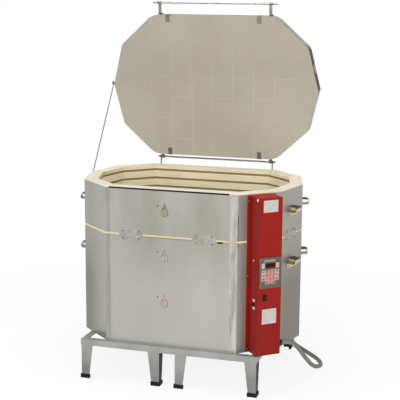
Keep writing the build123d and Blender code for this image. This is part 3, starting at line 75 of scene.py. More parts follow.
# The supply cord is grey rubber over three thick cores. It leaves the gland low on the control box, drops
# to the floor beside the kiln and runs round to the back, where the rest of it lies in a coil with its plug.
# Its first few centimetres are thickened where it is moulded into the gland.
class Signal:
    """One output in a finish's tree of nodes; sums and products of signals add the nodes for them."""

    def __init__(self, socket):
        self.socket = socket

    def node(self, kind, settings=None, values=None, output=0):
        """Add a node, set its settings, then its sockets, and give one of its outputs."""
        made = self.socket.id_data.nodes.new("ShaderNode" + kind)
        for name, value in (settings or {}).items():
            setattr(made, name, value)
        for name, value in (values or {}).items():
            feed(made.inputs[name], value)
        return Signal(made.outputs[output])

    def combine(self, operation, first, second):
        """Arithmetic on numbers, or on vectors where one side is a vector."""
        sides = [side.socket.type for side in (first, second) if isinstance(side, Signal)]
        kind = "VectorMath" if "VECTOR" in sides else "Math"
        return self.node(kind, {"operation": operation}, {0: first, 1: second})

    def __add__(self, other):
        return self.combine("ADD", self, other)

    def __radd__(self, other):
        return self.combine("ADD", other, self)

    def __sub__(self, other):
        return self.combine("SUBTRACT", self, other)

    def __rsub__(self, other):
        return self.combine("SUBTRACT", other, self)

    def __mul__(self, other):
        return self.combine("MULTIPLY", self, other)

    def __rmul__(self, other):
        return self.combine("MULTIPLY", other, self)

    def __truediv__(self, other):
        return self.combine("DIVIDE", self, other)

    def maths(self, operation, other=0.0):
        """A Math node's operation that no operator stands for."""
        return self.node("Math", {"operation": operation}, {0: self, 1: other})

    def length(self):
        """The length of a vector."""
        return self.node("VectorMath", {"operation": "LENGTH"}, {0: self}, "Value")

    def toward(self, direction):
        """How far a vector reaches in a direction."""
        return self.node("VectorMath", {"operation": "DOT_PRODUCT"}, {0: self, 1: tuple(direction)}, "Value")

    def parts(self):
        """The three numbers of a vector."""
        first = self.node("SeparateXYZ", {}, {0: self})
        return [Signal(output) for output in first.socket.node.outputs]

    def span(self, low, high):
        """0 at low, 1 at high, and held outside them."""
        return self.node("MapRange", {"clamp": True}, {"Value": self, "From Min": low, "From Max": high})

    def between(self, low, high, edge):
        """1 from low to high and 0 outside them, with a soft edge just inside each."""
        return self.span(low, low + edge) * self.span(high, high - edge)

    def mix(self, low, high):
        """One colour where this is 0 and the other where it is 1."""
        return self.node("Mix", {"data_type": "RGBA"}, {0: self, 6: low, 7: high}, 2)

    def noise(self, scale, detail=3.0, rough=0.5):
        """Cloudy noise over these coordinates."""
        values = {"Vector": self, "Scale": scale, "Detail": detail, "Roughness": rough}
        return self.node("TexNoise", {}, values)

    def cells(self, scale):
        """Distance to the middle of the nearest of many small cells, for pores."""
        return self.node("TexVoronoi", {"feature": "F1"}, {"Vector": self, "Scale": scale})

    def bump(self, height, depth, strength=1.0):
        """The normal of a surface that this many metres of relief would give."""
        return height.node("Bump", {}, {"Height": height, "Distance": depth, "Strength": strength})


def feed(socket, value):
    """Link a signal to a socket, or set the socket's own value."""
    if isinstance(value, Signal):
        socket.id_data.links.new(value.socket, socket)
    else:
        socket.default_value = value


def paint(red, green, blue):
    """A colour as it is seen on a screen, from 0 to 255 each."""
    levels = [value / 255 for value in (red, green, blue)]
    return [v / 12.92 if v < 0.04045 else ((v + 0.055) / 1.055) ** 2.4 for v in levels] + [1.0]


def finish(name, **values):
    """A material with fixed values, and the place on the object as a signal to build the rest from."""
    material = bpy.data.materials.new(name)
    material.use_nodes = True
    coat(material, **values)
    place = material.node_tree.nodes.new("ShaderNodeTexCoord")
    return material, Signal(place.outputs["Object"])


def coat(material, **values):
    """Set a material's colour, roughness or normal, or drive them with signals."""
    for socket, value in values.items():
        feed(material.node_tree.nodes["Principled BSDF"].inputs[socket.replace("_", " ")], value)


cord_grey, at = finish("cord_grey_rubber", Roughness=0.5)
streak = at.noise(22.0, 4.0)
coat(
    cord_grey,
    Base_Color=streak.span(0.3, 0.7).mix(paint(98, 99, 94), paint(124, 125, 119)),
    Roughness=at.noise(60.0).span(0.2, 0.9) * 0.2 + 0.42,
    Normal=at.bump(at.noise(380.0, 2.0), 0.0003),
)

body_y = -0.012
cord_radius = 0.011
coil_middle = (0.290, 0.562 + body_y)
coil_start = radians(10.0)
coil_mid_radius, coil_pitch, coil_layer = 0.110, 0.0235, 0.0229
turns_in, turns_up, turns_out = 1.0, 0.5, 0.75
points_in_a_turn = 16
spline_shrink = 0.75 + 0.25 * cos(2 * pi / points_in_a_turn)


def coil_place(turn):
    """A point of the coil: in towards the middle, up a layer and out again."""
    reversal = turns_in + turns_up / 2
    radius = coil_mid_radius + coil_pitch * turns_in / 2 - coil_pitch * min(turn, reversal)
    radius += coil_pitch * max(turn - reversal, 0.0)
    climb = min(max((turn - turns_in) / turns_up, 0.0), 1.0)
    angle = coil_start + 2 * pi * turn
    radius /= spline_shrink
    x, y = coil_middle[0] + radius * cos(angle), coil_middle[1] + radius * sin(angle)
    return (x, y, cord_radius + coil_layer * climb)


def coil_way(turn):
    """Level direction of the coil at a point."""
    angle = coil_start + 2 * pi * turn
    return Vector((-sin(angle), cos(angle), 0.0))


gland_mouth = Vector((0.52043, -0.27591 + body_y, 0.2484))
box_way = Vector((0.73768, 0.67516, 0.0))
straight_out = 0.044
coil_in = Vector(coil_place(0.0))
route = [gland_mouth, gland_mouth + box_way * straight_out]
route += [
    Vector((x, y + body_y, z))
    for x, y, z in (
        (0.579, -0.206, 0.233), (0.599, -0.146, 0.187), (0.619, -0.070, 0.113), (0.643, 0.028, 0.034),
        (0.668, 0.114, 0.011), (0.648, 0.190, 0.011), (0.588, 0.272, 0.011), (0.508, 0.364, 0.011),
        (0.440, 0.452, 0.011),
    )
]
route += [coil_in - coil_way(0.0) * before for before in (0.075, 0.024)]
turns = turns_in + turns_up + turns_out
coil_points = round(turns * points_in_a_turn) + 1
route += [Vector(coil_place(step / points_in_a_turn)) for step in range(coil_points)]
route += [route[-1] + coil_way(turns) * beyond for beyond in (0.033, 0.066)]
cord_line = bpy.data.curves.new("supply_cord", "CURVE")
cord_line.dimensions = "3D"
cord_line.bevel_depth = cord_radius
cord_line.bevel_resolution = 5
cord_line.resolution_u = 8
cord_line.use_fill_caps = True
spline = cord_line.splines.new("NURBS")
spline.points.add(len(route) - 1)
for point, place in zip(spline.points, route):
    point.co = (*place, 1.0)
for point, swell in zip(spline.points, (1.32, 1.10)):
    point.radius = swell
spline.order_u = 3
spline.use_endpoint_u = True
supply_cord = bpy.data.objects.new("supply_cord", cord_line)
bpy.context.scene.collection.objects.link(supply_cord)
cord_line.materials.append(cord_grey)
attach(supply_cord, "kiln")
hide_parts("power_cord", "cord_coil")


# The floor is plain and pale and runs out of sight, and it looks white from the camera and in the steel,
# a little less so close to the kiln, where it keeps the kiln's shadow.
floor_white, at = finish(
    "floor_white", Base_Color=(0.92, 0.92, 0.92, 1.0), Roughness=0.9, Specular_IOR_Level=0.0)
painted = Signal(floor_white.node_tree.nodes["Principled BSDF"].outputs[0])
seen = at.node("LightPath", output="Is Camera Ray")
mirrored = at.node("LightPath", output="Is Glossy Ray")
far_off = at.length().span(0.9, 2.6)
white_share = seen.maths("MAXIMUM", mirrored) * (far_off * 0.14 + 0.86)
blend = at.node("MixShader", {}, {0: white_share, 1: painted, 2: at.node("Emission")})
feed(floor_white.node_tree.nodes["Material Output"].inputs["Surface"], blend)
reach = 30.0
corners = [(-reach, -reach, 0), (reach, -reach, 0), (reach, reach, 0), (-reach, reach, 0)]
square = bpy.data.meshes.new("floor")
square.from_pydata(corners, [], [(0, 1, 2, 3)])
square.materials.append(floor_white)
floor = bpy.data.objects.new("floor", square)
bpy.context.scene.collection.objects.link(floor)
floor.location.z = -0.0005


# The light is soft: a wide lamp in front, a weaker one on the left, one above the open chamber and an
# even glow all round, which the camera itself sees as plain white.
def lamp(name, place, target, size, power):
    """A soft square lamp that looks at a point."""
    light = bpy.data.lights.new(name, "AREA")
    light.shape, light.size, light.energy = "SQUARE", size, power
    holder = bpy.data.objects.new(name, light)
    bpy.context.scene.collection.objects.link(holder)
    holder.location = place
    holder.rotation_euler = (Vector(target) - Vector(place)).to_track_quat("-Z", "Y").to_euler()


lamp("lamp_front", (1.6, -5.2, 2.4), (0.0, 0.0, 0.9), 3.0, 135.0)
lamp("lamp_left", (-4.4, -2.6, 2.6), (0.0, 0.0, 0.9), 2.5, 14.0)
lamp("lamp_above", (0.0, -0.6, 4.4), (0.0, 0.0, 0.6), 2.6, 84.0)

room = bpy.data.worlds.new("room")
room.use_nodes = True
bpy.context.scene.world = room
warm_white, glow_strength = (1.0, 0.99, 0.97, 1.0), 0.62
room.node_tree.nodes["Background"].inputs["Color"].default_value = warm_white
room.node_tree.nodes["Background"].inputs["Strength"].default_value = glow_strength
glow = Signal(room.node_tree.nodes["Background"].outputs[0])
white = glow.node("Background", {}, {"Color": (1.0, 1.0, 1.0, 1.0), "Strength": 1.0})
seen = glow.node("LightPath", output="Is Camera Ray")
feed(
    room.node_tree.nodes["World Output"].inputs["Surface"],
    glow.node("MixShader", {}, {0: seen, 1: glow, 2: white}))
bpy.context.scene.view_settings.view_transform = "Standard"


def dressed(node, material, edge=0.0008, angle=32.0):
    """A part's surface with its sharp edges eased and a finish, standing for that part."""
    source = frame["nodes"][node]
    mesh = source.data.copy()
    mesh.name = node + "_surface"
    shape = bmesh.new()
    shape.from_mesh(mesh)
    bmesh.ops.remove_doubles(shape, verts=shape.verts, dist=0.000002)
    bmesh.ops.dissolve_limit(shape, angle_limit=radians(0.4), verts=shape.verts, edges=shape.edges)
    shape.to_mesh(mesh)
    shape.free()
    mesh.materials.clear()
    mesh.materials.append(material)
    for polygon in mesh.polygons:
        polygon.material_index = 0
    mesh.shade_smooth()
    mesh.set_sharp_from_angle(angle=radians(angle))
    piece = bpy.data.objects.new(node + "_surface", mesh)
    bpy.context.scene.collection.objects.link(piece)
    if edge > 0:
        ease = piece.modifiers.new("eased_edges", "BEVEL")
        ease.width, ease.segments, ease.limit_method = edge, 2, "ANGLE"
        ease.angle_limit = radians(angle)
        ease.harden_normals = True
        ease.use_clamp_overlap = True
    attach(piece, source["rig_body"])
    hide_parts(node)
    return piece


def carried(node, material):
    """A part kept as it is, with a finish of its own."""
    part = frame["nodes"][node]
    part.data.materials.clear()
    part.data.materials.append(material)
    for polygon in part.data.polygons:
        polygon.material_index = 0


def second_coat(piece, material, chosen):
    """A second finish on the faces that a test picks."""
    piece.data.materials.append(material)
    for polygon in piece.data.polygons:
        if chosen(polygon):
            polygon.material_index = 1


stand_grey, at = finish("stand_grey_paint", Metallic=0.35)
cloud = at.noise(9.0, 4.0)
fleck = at.noise(420.0, 2.0)
rise = at.parts()[2]
leg_grey = cloud.span(0.3, 0.75).mix(paint(112, 112, 111), paint(142, 142, 140))
rail_grey = cloud.span(0.3, 0.75).mix(paint(150, 150, 146), paint(172, 172, 167))
stand_tone = rise.span(0.04, 0.19).mix(leg_grey, rail_grey)
coat(
    stand_grey,
    Base_Color=(fleck.span(0.56, 0.66) * 0.5).mix(stand_tone, paint(92, 92, 90)),
    Roughness=fleck.span(0.2, 0.8) * 0.16 + 0.34,
    Normal=at.bump(fleck, 0.00012),
)
dressed("stand_rails", stand_grey, 0.0007)
dressed("stand_crossbars", stand_grey, 0.0007)
legs = dressed("stand_legs", stand_grey, 0.0007)
# The legs' faces that look to the right take a second, dark grey coat: painted shade, standing in for their
# shadow.
painted_shade_grey, at = finish("legs_painted_shade", Specular_IOR_Level=0.2)
coat(
    painted_shade_grey,
    Base_Color=at.noise(9.0, 4.0).span(0.3, 0.75).mix(paint(40, 40, 39), paint(58, 58, 56)),
    Roughness=at.noise(420.0, 2.0).span(0.2, 0.8) * 0.16 + 0.5,
)
second_coat(legs, painted_shade_grey, lambda face: face.normal.x > 0.7)

bright_steel, at = finish("bright_steel", Metallic=0.9)
coat(
    bright_steel,
    Base_Color=at.noise(90.0, 3.0).span(0.25, 0.8).mix(paint(150, 149, 144), paint(190, 189, 184)),
    Roughness=at.noise(240.0).span(0.2, 0.8) * 0.18 + 0.22,
)
carried("stand_rivets", bright_steel)

# Each leg stands in a moulded black rubber boot, pressed on over the angle's end. Its skin is slightly
# rough and its edges are rounded.
boot_rubber, at = finish("boot_rubber", Specular_IOR_Level=0.25)
grain = at.noise(900.0, 3.0)
coat(
    boot_rubber,
    Base_Color=at.noise(40.0).span(0.3, 0.8).mix(paint(6, 6, 6), paint(18, 18, 17)),
    Roughness=grain.span(0.2, 0.8) * 0.2 + 0.55,
    Normal=at.bump(grain, 0.0002),
)
dressed("stand_feet", boot_rubber, 0.0016)


# The walls are three courses of soft insulating firebrick, cream and full of fine pores, with mitred
# corners and five grooves round the inside of each course. The floor is a slab of the same brick. Upright
# faces are painted yellower and lighter than level ones, as painted light bounced round the chamber. In
# front, painted shadow darkens the brick under the rim, behind the jacket's top edge, and painted shade
# darkens it in the jacket's short slot. The brick is darker round the peepholes, the top one most.
firebrick, at = finish("firebrick", Specular_IOR_Level=0.2)
pits = at.cells(420.0).span(0.32, 0.12)
cloud = at.noise(7.0, 5.0, 0.6)
grain = at.noise(600.0, 3.0, 0.7)
facing = at.node("NewGeometry", output="Normal")
upright = facing.parts()[2].maths("ABSOLUTE").span(0.75, 0.35)
# Painted light: upright faces are painted yellower and lighter than level ones, as light bounced round the
# chamber.
level_face_tone = cloud.span(0.32, 0.7).mix(paint(203, 195, 179), paint(217, 211, 198))
painted_bounce_tone = cloud.span(0.32, 0.7).mix(paint(225, 212, 178), paint(237, 226, 197))
brick = (pits * 0.5).mix(upright.mix(level_face_tone, painted_bounce_tone), paint(182, 168, 138))
across, back, rise = at.parts()
outside = (back - body_y).span(-0.3735, -0.3750)
# Painted shadow: the brick's face under the front rim, in the gap behind the jacket's top edge, is painted
# dark brown.
brick_gap_shadow = outside * rise.span(0.9800, 0.9822) * across.between(-0.3235, 0.2950, 0.0030)
brick_gap_shadow = brick_gap_shadow * (cloud.span(0.1, 0.5) * 0.2 + 0.8)
# Painted shade: the brick seen through the jacket's short slot is painted the same dark brown.
slot_painted_shade = outside * across.between(0.238, 0.266, 0.001) * rise.between(0.7450, 0.7558, 0.0010)
# The brick round each peephole is darker, the top one most.
lowest_peephole, course_rise, no_step = (-0.030, 0.0, 0.4219), 0.2286, 9.0
off_lowest = (at - lowest_peephole) * (1.0, 0.0, 1.0)
nearest_hole = off_lowest.combine(
    "SNAP", off_lowest + (no_step / 2, no_step / 2, course_rise / 2), (no_step, no_step, course_rise))
near_peepholes = outside * (off_lowest - nearest_hole).length().span(0.075, 0.055)
peephole_tone = rise.span(0.62, 0.80).mix(paint(178, 168, 147), paint(138, 132, 112))
coat(
    firebrick,
    Base_Color=(brick_gap_shadow + slot_painted_shade).mix(near_peepholes.mix(brick, peephole_tone), paint(46, 36, 24)),
    Roughness=grain.span(0.2, 0.9) * 0.1 + 0.86,
    Normal=at.bump(grain - pits * 0.7, 0.0006),
)
for course in ("bottom", "middle", "top"):
    dressed(f"bricks_{course}_course", firebrick, 0.0024)
dressed("floor_slab", firebrick, 0.0014)

# The heating elements are coils of resistance wire laid in the grooves, dulled by oxide, and their
# ends leave through holes in the wall into the control box.
element_wire, at = finish("oxidised_wire", Metallic=0.3)
wound = (at.toward((-0.34, 0.94, 0.1)) * 1900.0).maths("SINE")
coat(
    element_wire,
    Base_Color=wound.span(-0.8, 0.6).mix(paint(136, 122, 78), paint(196, 180, 130)),
    Roughness=at.noise(300.0).span(0.0, 1.0) * 0.2 + 0.55,
    Normal=at.bump(wound, 0.0012),
)
carried("heating_elements", element_wire)
carried("element_terminals", bright_steel)

# A thermocouple in a ceramic tube reaches into the chamber from the control box. Its outer end is held
# in a block of the same unglazed ceramic.
raw_ceramic, at = finish("unglazed_ceramic", Specular_IOR_Level=0.3)
coat(
    raw_ceramic,
    Base_Color=at.noise(60.0, 4.0).span(0.3, 0.7).mix(paint(204, 192, 158), paint(226, 216, 188)),
    Roughness=at.noise(200.0).span(0.0, 1.0) * 0.15 + 0.7,
    Normal=at.bump(at.noise(500.0), 0.0003),
)
carried("thermocouple", raw_ceramic)
carried("thermocouple_block", raw_ceramic)


# The body is wrapped in thin stainless sheet, brushed along its length, in a lower and an upper jacket.
# The sheet is folded at each corner of the plan and waves a little between the folds. Painted shadow
# darkens its top edge under the rim in front and a narrow line by the right front corner, and painted
# shade widens the gap along the lower jacket's top. The lower side facets are painted darker, as painted
# reflection, and the right one is also stained brown.
jacket_steel, at = finish("brushed_stainless", Metallic=0.82)
hairlines = (at * (6.0, 6.0, 700.0)).noise(1.0, 3.0, 0.6)
smear = (at * (5.0, 5.0, 1.6)).noise(1.0, 4.0)
wave = (at * (2.4, 2.4, 1.1)).noise(1.0, 1.0)
across, back, rise = at.parts()
# Painted shadow: a narrow dark line by the right front corner, where the sheet's open edge stands off.
ragged = across + at.noise(14.0, 3.0) * 0.002
corner_shadow_line = back.span(-0.35, -0.37) * ragged.between(0.3400, 0.3432, 0.0008) * rise.between(0.736, 0.892, 0.006)
front = back.span(-0.355, -0.365)
# Painted shadow: the front's top edge under the rim is painted dark.
jacket_top_shadow = front * rise.span(0.9856, 0.9866) * across.between(-0.3235, 0.2950, 0.0030)
low = rise.span(0.76, 0.50)
low_middle = front * low * across.between(-0.330, 0.330, 0.030)
# Painted reflection: the lower side facets are painted darker, and the right one is also stained brown.
low_left_shade = low * across.span(-0.38, -0.48)
low_right_shade_and_stain = low * 0.9 * across.span(0.46, 0.53)
# Painted shade: the lower jacket's top edge in the front middle takes the shaded gap's colour, so the gap
# looks wider.
hem_gap_shade = front * rise.between(0.7490, 0.7600, 0.0010) * across.between(-0.146, 0.112, 0.003)
steel = smear.span(0.3, 0.72).mix(paint(156, 155, 146), paint(180, 179, 171))
steel = (low_middle * 0.7).mix(steel, paint(188, 186, 178))
steel = low_left_shade.mix(steel, paint(132, 131, 124))
steel = low_right_shade_and_stain.mix(steel, paint(131, 123, 109))
steel = hem_gap_shade.mix(steel, paint(158, 151, 130))
coat(
    jacket_steel,
    Base_Color=(corner_shadow_line + jacket_top_shadow).mix(steel, paint(44, 40, 32)),
    Roughness=hairlines.span(0.25, 0.75) * 0.10 + smear.span(0.3, 0.7) * 0.08 + 0.34,
    Normal=at.bump(wave + hairlines * 0.004, 0.012, 0.34),
)
dressed("jacket_lower", jacket_steel, 0.0, 12.0)
dressed("jacket_upper", jacket_steel, 0.0, 12.0)
carried("bottom_pan", jacket_steel)

# A strip of thin stainless sheet covers the jackets' seam at each front corner. It is a little crumpled,
# and the right-hand strip is painted brighter, as painted highlight.
strip_steel, at = finish("crumpled_stainless", Metallic=0.8)
folds = (at * (60.0, 60.0, 9.0)).noise(1.0, 4.0, 0.6)
left_tone = folds.span(0.3, 0.7).mix(paint(150, 149, 142), paint(170, 169, 162))
# Painted highlight: the right-hand strip is lighter and more mottled.
right_strip_highlight = folds.span(0.3, 0.7).mix(paint(154, 153, 146), paint(206, 204, 197))
coat(
    strip_steel,
    Base_Color=at.parts()[0].span(-0.1, 0.1).mix(left_tone, right_strip_highlight),
    Roughness=at.noise(90.0).span(0.25, 0.75) * 0.12 + 0.3,
    Normal=at.bump(folds, 0.004),
)
dressed("jacket_seam_strips", strip_steel, 0.0002)

# Six waisted steel plates with a pair of ears at each end hold the two jackets together across the gap.
# Small screws, worn dull, fix the sheets.
plate_steel, at = finish("plate_steel", Metallic=0.8)
coat(
    plate_steel,
    Base_Color=at.noise(40.0, 4.0).span(0.3, 0.72).mix(paint(150, 150, 140), paint(182, 181, 172)),
    Roughness=at.noise(160.0).span(0.2, 0.8) * 0.15 + 0.36,
)
dressed("section_plates", plate_steel, 0.0003)
worn_steel, at = finish("worn_steel", Metallic=0.7)
coat(
    worn_steel,
    Base_Color=at.noise(90.0, 3.0).span(0.25, 0.8).mix(paint(84, 83, 76), paint(112, 110, 102)),
    Roughness=at.noise(240.0).span(0.2, 0.8) * 0.18 + 0.34,
)
carried("jacket_screws", worn_steel)

# The lifting handles are strips of zinc-plated steel rolled into a loop over a screwed foot. Their
# plating is passivated to a yellow that runs to grey. The level faces high on the loops are painted dark,
# as painted reflection.
yellow_zinc, at = finish("yellow_zinc", Metallic=0.85)
coat(
    yellow_zinc,
    Base_Color=at.noise(16.0, 4.0).span(0.3, 0.7).mix(paint(196, 178, 134), paint(206, 202, 186)),
    Roughness=at.noise(90.0).span(0.2, 0.8) * 0.18 + 0.26,
    Normal=at.bump(at.noise(60.0, 2.0), 0.0005),
)
# Painted reflection: the level faces high on the loops are painted dark.
zinc_dark_reflection, at = finish("zinc_dark_reflection", Metallic=0.4)
coat(
    zinc_dark_reflection,
    Base_Color=at.noise(30.0, 3.0).span(0.3, 0.7).mix(paint(54, 46, 31), paint(82, 72, 50)),
    Roughness=at.noise(90.0).span(0.2, 0.8) * 0.18 + 0.5,
)


def lies_above(height):
    """A test for the level faces above a height."""
    return lambda face: abs(face.normal.z) > 0.5 and face.center.z > height


for node, loop_height in (("handles_upper", 0.8864), ("handles_lower", 0.6258)):
    second_coat(dressed(node, yellow_zinc, 0.0007), zinc_dark_reflection, lies_above(loop_height))

# A tapered ceramic plug closes each peephole, seated on the brick behind a drop-shaped opening. The
# plugs have gone grey with handling, the top one most.
handled_ceramic, at = finish("handled_ceramic", Specular_IOR_Level=0.3)
blotch = at.noise(60.0, 4.0).span(0.3, 0.7)
lower_plugs = blotch.mix(paint(166, 157, 138), paint(186, 178, 160))
top_plug = blotch.mix(paint(140, 136, 116), paint(162, 157, 138))
coat(
    handled_ceramic,
    Base_Color=at.parts()[2].span(0.62, 0.80).mix(lower_plugs, top_plug),
    Roughness=at.noise(200.0).span(0.0, 1.0) * 0.15 + 0.7,
    Normal=at.bump(at.noise(500.0), 0.0003),
)
for number in (1, 2, 3):
    carried(f"peephole_plug_{number}", handled_ceramic)


# The lid is a slab of firebricks laid in running bond and cemented. The cement is a little paler than
# the bricks, and the slab is sealed with a thin wash of it, so that the joints show only faintly. The
# slab is lighter towards the hinge.
hinge_back, hinge_z, open_angle = 0.402, 1.0304, radians(86.0)
brick_wide, brick_long = 0.1143, 0.2286
first_column, first_row = -0.007, 0.061
lid_brick, at = finish("lid_firebrick", Specular_IOR_Level=0.2)
across, back, height = at.parts()
behind_hinge = (back - (hinge_back + body_y)) * cos(open_angle) - (height - hinge_z) * sin(open_angle)
along = behind_hinge + hinge_back
column = (across - first_column) / brick_wide
column_number = column.maths("FLOOR")
stagger = column_number.maths("FLOORED_MODULO", 2.0) * brick_wide
row = (along - first_row + stagger) / brick_long


def from_joint(count, length):
    """How far a point is from the nearest joint, in metres."""
    off_middle = (count.maths("FRACT") - 0.5).maths("ABSOLUTE")
    return (0.5 - off_middle) * length


nearest = from_joint(column, brick_wide).maths("MINIMUM", from_joint(row, brick_long))
wander = at.noise(24.0, 3.0) * 0.007 - 0.002
joint = (nearest + wander).span(0.0065, 0.0035)
brick_number = at.node("CombineXYZ", {}, {0: column_number, 1: row.maths("FLOOR"), 2: 0.0})
brick_tone = brick_number.node("TexWhiteNoise", {"noise_dimensions": "3D"}, {"Vector": brick_number})
tone = brick_tone * 0.12 + at.noise(5.0, 5.0, 0.65).span(0.3, 0.7) * 0.88
upper_wash = tone.mix(paint(157, 151, 138), paint(165, 159, 146))
lower_wash = tone.mix(paint(172, 166, 152), paint(180, 174, 160))
joint_shows = joint * (at.noise(3.2, 2.0).span(0.35, 0.62) * height.span(1.78, 1.36)) * 0.31
coat(
    lid_brick,
    Base_Color=joint_shows.mix(height.span(1.55, 1.12).mix(upper_wash, lower_wash), paint(192, 186, 172)),
    Roughness=at.noise(500.0).span(0.0, 1.0) * 0.1 + 0.86,
    Normal=at.bump(at.noise(500.0, 3.0) - at.cells(380.0).span(0.3, 0.1) * 0.4 + joint * 0.5, 0.0004),
)
dressed("lid_slab", lid_brick, 0.0014)

# A stainless band runs round the slab's edge, drawn tight by two worm clamps. The heat that leaves
# under the lid has browned it over the control box.
heated_band, at = finish("heat_browned_band", Metallic=0.8)
across, back, rise = at.parts()
tint = at.noise(9.0, 4.0, 0.6)
clean_tone = tint.span(0.3, 0.72).mix(paint(160, 158, 148), paint(188, 187, 180))
brown_tone = tint.span(0.3, 0.7).mix(paint(70, 44, 30), paint(96, 70, 50))
coat(
    heated_band,
    Base_Color=(across.span(0.49, 0.52) * rise.between(1.40, 1.68, 0.04)).mix(clean_tone, brown_tone),
    Roughness=at.noise(120.0).span(0.2, 0.8) * 0.15 + 0.36,
    Normal=at.bump(at.noise(3.0, 1.0), 0.004),
)
dressed("lid_band", heated_band, 0.0, 12.0)
dressed("lid_band_clamps", bright_steel, 0.0004)

# Four clips of thin steel strip are folded over the slab's edge and under it. They have browned in the
# chamber's heat.
browned_steel, at = finish("browned_steel", Metallic=0.8)
coat(
    browned_steel,
    Base_Color=at.noise(70.0, 4.0).span(0.3, 0.7).mix(paint(96, 90, 78), paint(150, 143, 126)),
    Roughness=at.noise(200.0).span(0.0, 1.0) * 0.2 + 0.4,
)
dressed("lid_clips", browned_steel, 0.0003)

# Two flat bars cross the lid's top, their zinc dulled to grey. Each is stepped down at both ends to an
# eye: at the back they turn on the hinge rod, and at the front they carry the grab rod.
dull_zinc, at = finish("dulled_zinc", Metallic=0.75)
coat(
    dull_zinc,
    Base_Color=at.noise(26.0, 4.0).span(0.3, 0.7).mix(paint(116, 115, 106), paint(148, 147, 137)),
    Roughness=at.noise(110.0).span(0.2, 0.8) * 0.16 + 0.36,
    Normal=at.bump(at.noise(80.0, 2.0), 0.0003),
)
dressed("lid_arms", dull_zinc, 0.0006)
dressed("hinge_brackets", dull_zinc, 0.0006)
for node in ("lid_arm_screws", "grab_rod", "hinge_rod"):
    carried(node, bright_steel)
for node in ("grab_rod_nuts", "hinge_rod_nuts"):
    carried(node, dull_zinc)

# The lid stay is a straight rod that hangs from a bolt in the lid's corner and slides through an eye
# on the body. The eye turns in its bracket, and a collar on the rod's end stops the open lid.
for node in ("stay_bolt", "stay_rod", "stay_collar", "stay_eye"):
    carried(node, dull_zinc)
dressed("stay_bracket", dull_zinc, 0.0006)


# The control box is folded steel sheet with a baked red enamel, a little darker low down. Its left wall
# is painted darker red as painted shade, and two pale marks are rubbed on it beside the toggle. It stands
# off the front right facet on two screwed flanges, so that its switches stay cool. The flanges are painted
# a darker red, as painted shade behind the box.
red_enamel, at = finish("red_enamel", Specular_IOR_Level=0.2)
peel = at.noise(260.0, 2.0)
cloud = at.noise(6.0, 4.0).span(0.3, 0.7)
box_out = Vector((box_way.y, -box_way.x, 0.0))
toggle = frame["nodes"]["toggle_body"]
toggle_corners = [toggle.matrix_world @ Vector(corner) for corner in toggle.bound_box]
toggle_middle = sum(toggle_corners, Vector()) / len(toggle_corners)
left_wall = at.node("NewGeometry", output="Normal").toward(box_way).span(-0.5, -0.9)
off_toggle = at - tuple(toggle_middle)
marks = left_wall * off_toggle.parts()[2].maths("ABSOLUTE").between(0.0130, 0.0244, 0.0004)
marks = marks * off_toggle.toward(box_out).between(-0.0114, 0.0114, 0.0004)
upper_red = cloud.mix(paint(137, 14, 4), paint(150, 21, 9))
lower_red = cloud.mix(paint(126, 10, 3), paint(138, 17, 8))
# Painted shade: the left wall, away from the lamps, is painted a darker red.
left_wall_shade = cloud.mix(paint(123, 13, 7), paint(137, 20, 12))
face_red = at.parts()[2].span(0.60, 0.38).mix(upper_red, lower_red)
coat(
    red_enamel,
    Base_Color=marks.mix(left_wall.mix(face_red, left_wall_shade), paint(214, 196, 192)),
    Roughness=peel.span(0.2, 0.8) * 0.12 + 0.42,
    Normal=at.bump(peel, 0.0002),
)
dressed("box_cover", red_enamel, 0.0012)
# Painted shade: the flanges behind the box are painted a darker red.
painted_shade_red, at = finish("red_enamel_painted_shade", Specular_IOR_Level=0.15)
coat(
    painted_shade_red,
    Base_Color=at.noise(6.0, 4.0).span(0.3, 0.7).mix(paint(104, 12, 8), paint(122, 18, 12)),
    Roughness=at.noise(260.0, 2.0).span(0.2, 0.8) * 0.12 + 0.5,
)
dressed("box_back", painted_shade_red, 0.0003)
carried("box_screws", bright_steel)

# The controller has a grey moulded bezel round a printed film with raised keys. The film is grey, with a
# silver strip at the top, pale fields beside the window and the keys, and a pink field under the numbers.
bezel_grey, at = finish("bezel_grey_plastic")
coat(
    bezel_grey,
    Base_Color=at.noise(50.0).span(0.3, 0.7).mix(paint(84, 84, 78), paint(98, 98, 91)),
    Roughness=at.noise(700.0).span(0.0, 1.0) * 0.12 + 0.4,
    Normal=at.bump(at.noise(1500.0), 0.0001),
)
dressed("controller_bezel", bezel_grey, 0.0005)
keypad_film, at = finish("keypad_film")
panel_middle = Vector((0.4285, -0.299 + body_y, 0.6204)) + box_way * 0.006
off_middle = at - tuple(panel_middle)
sideways, rise = off_middle.toward(box_way), off_middle.parts()[2]


def printed(left, right, low, high):
    """1 inside a rectangle of the panel, in millimetres from its middle, and 0 outside."""
    edge = 0.0003
    inside = sideways.between(left / 1000 - edge, right / 1000 + edge, edge)
    return inside * rise.between(low / 1000 - edge, high / 1000 + edge, edge)


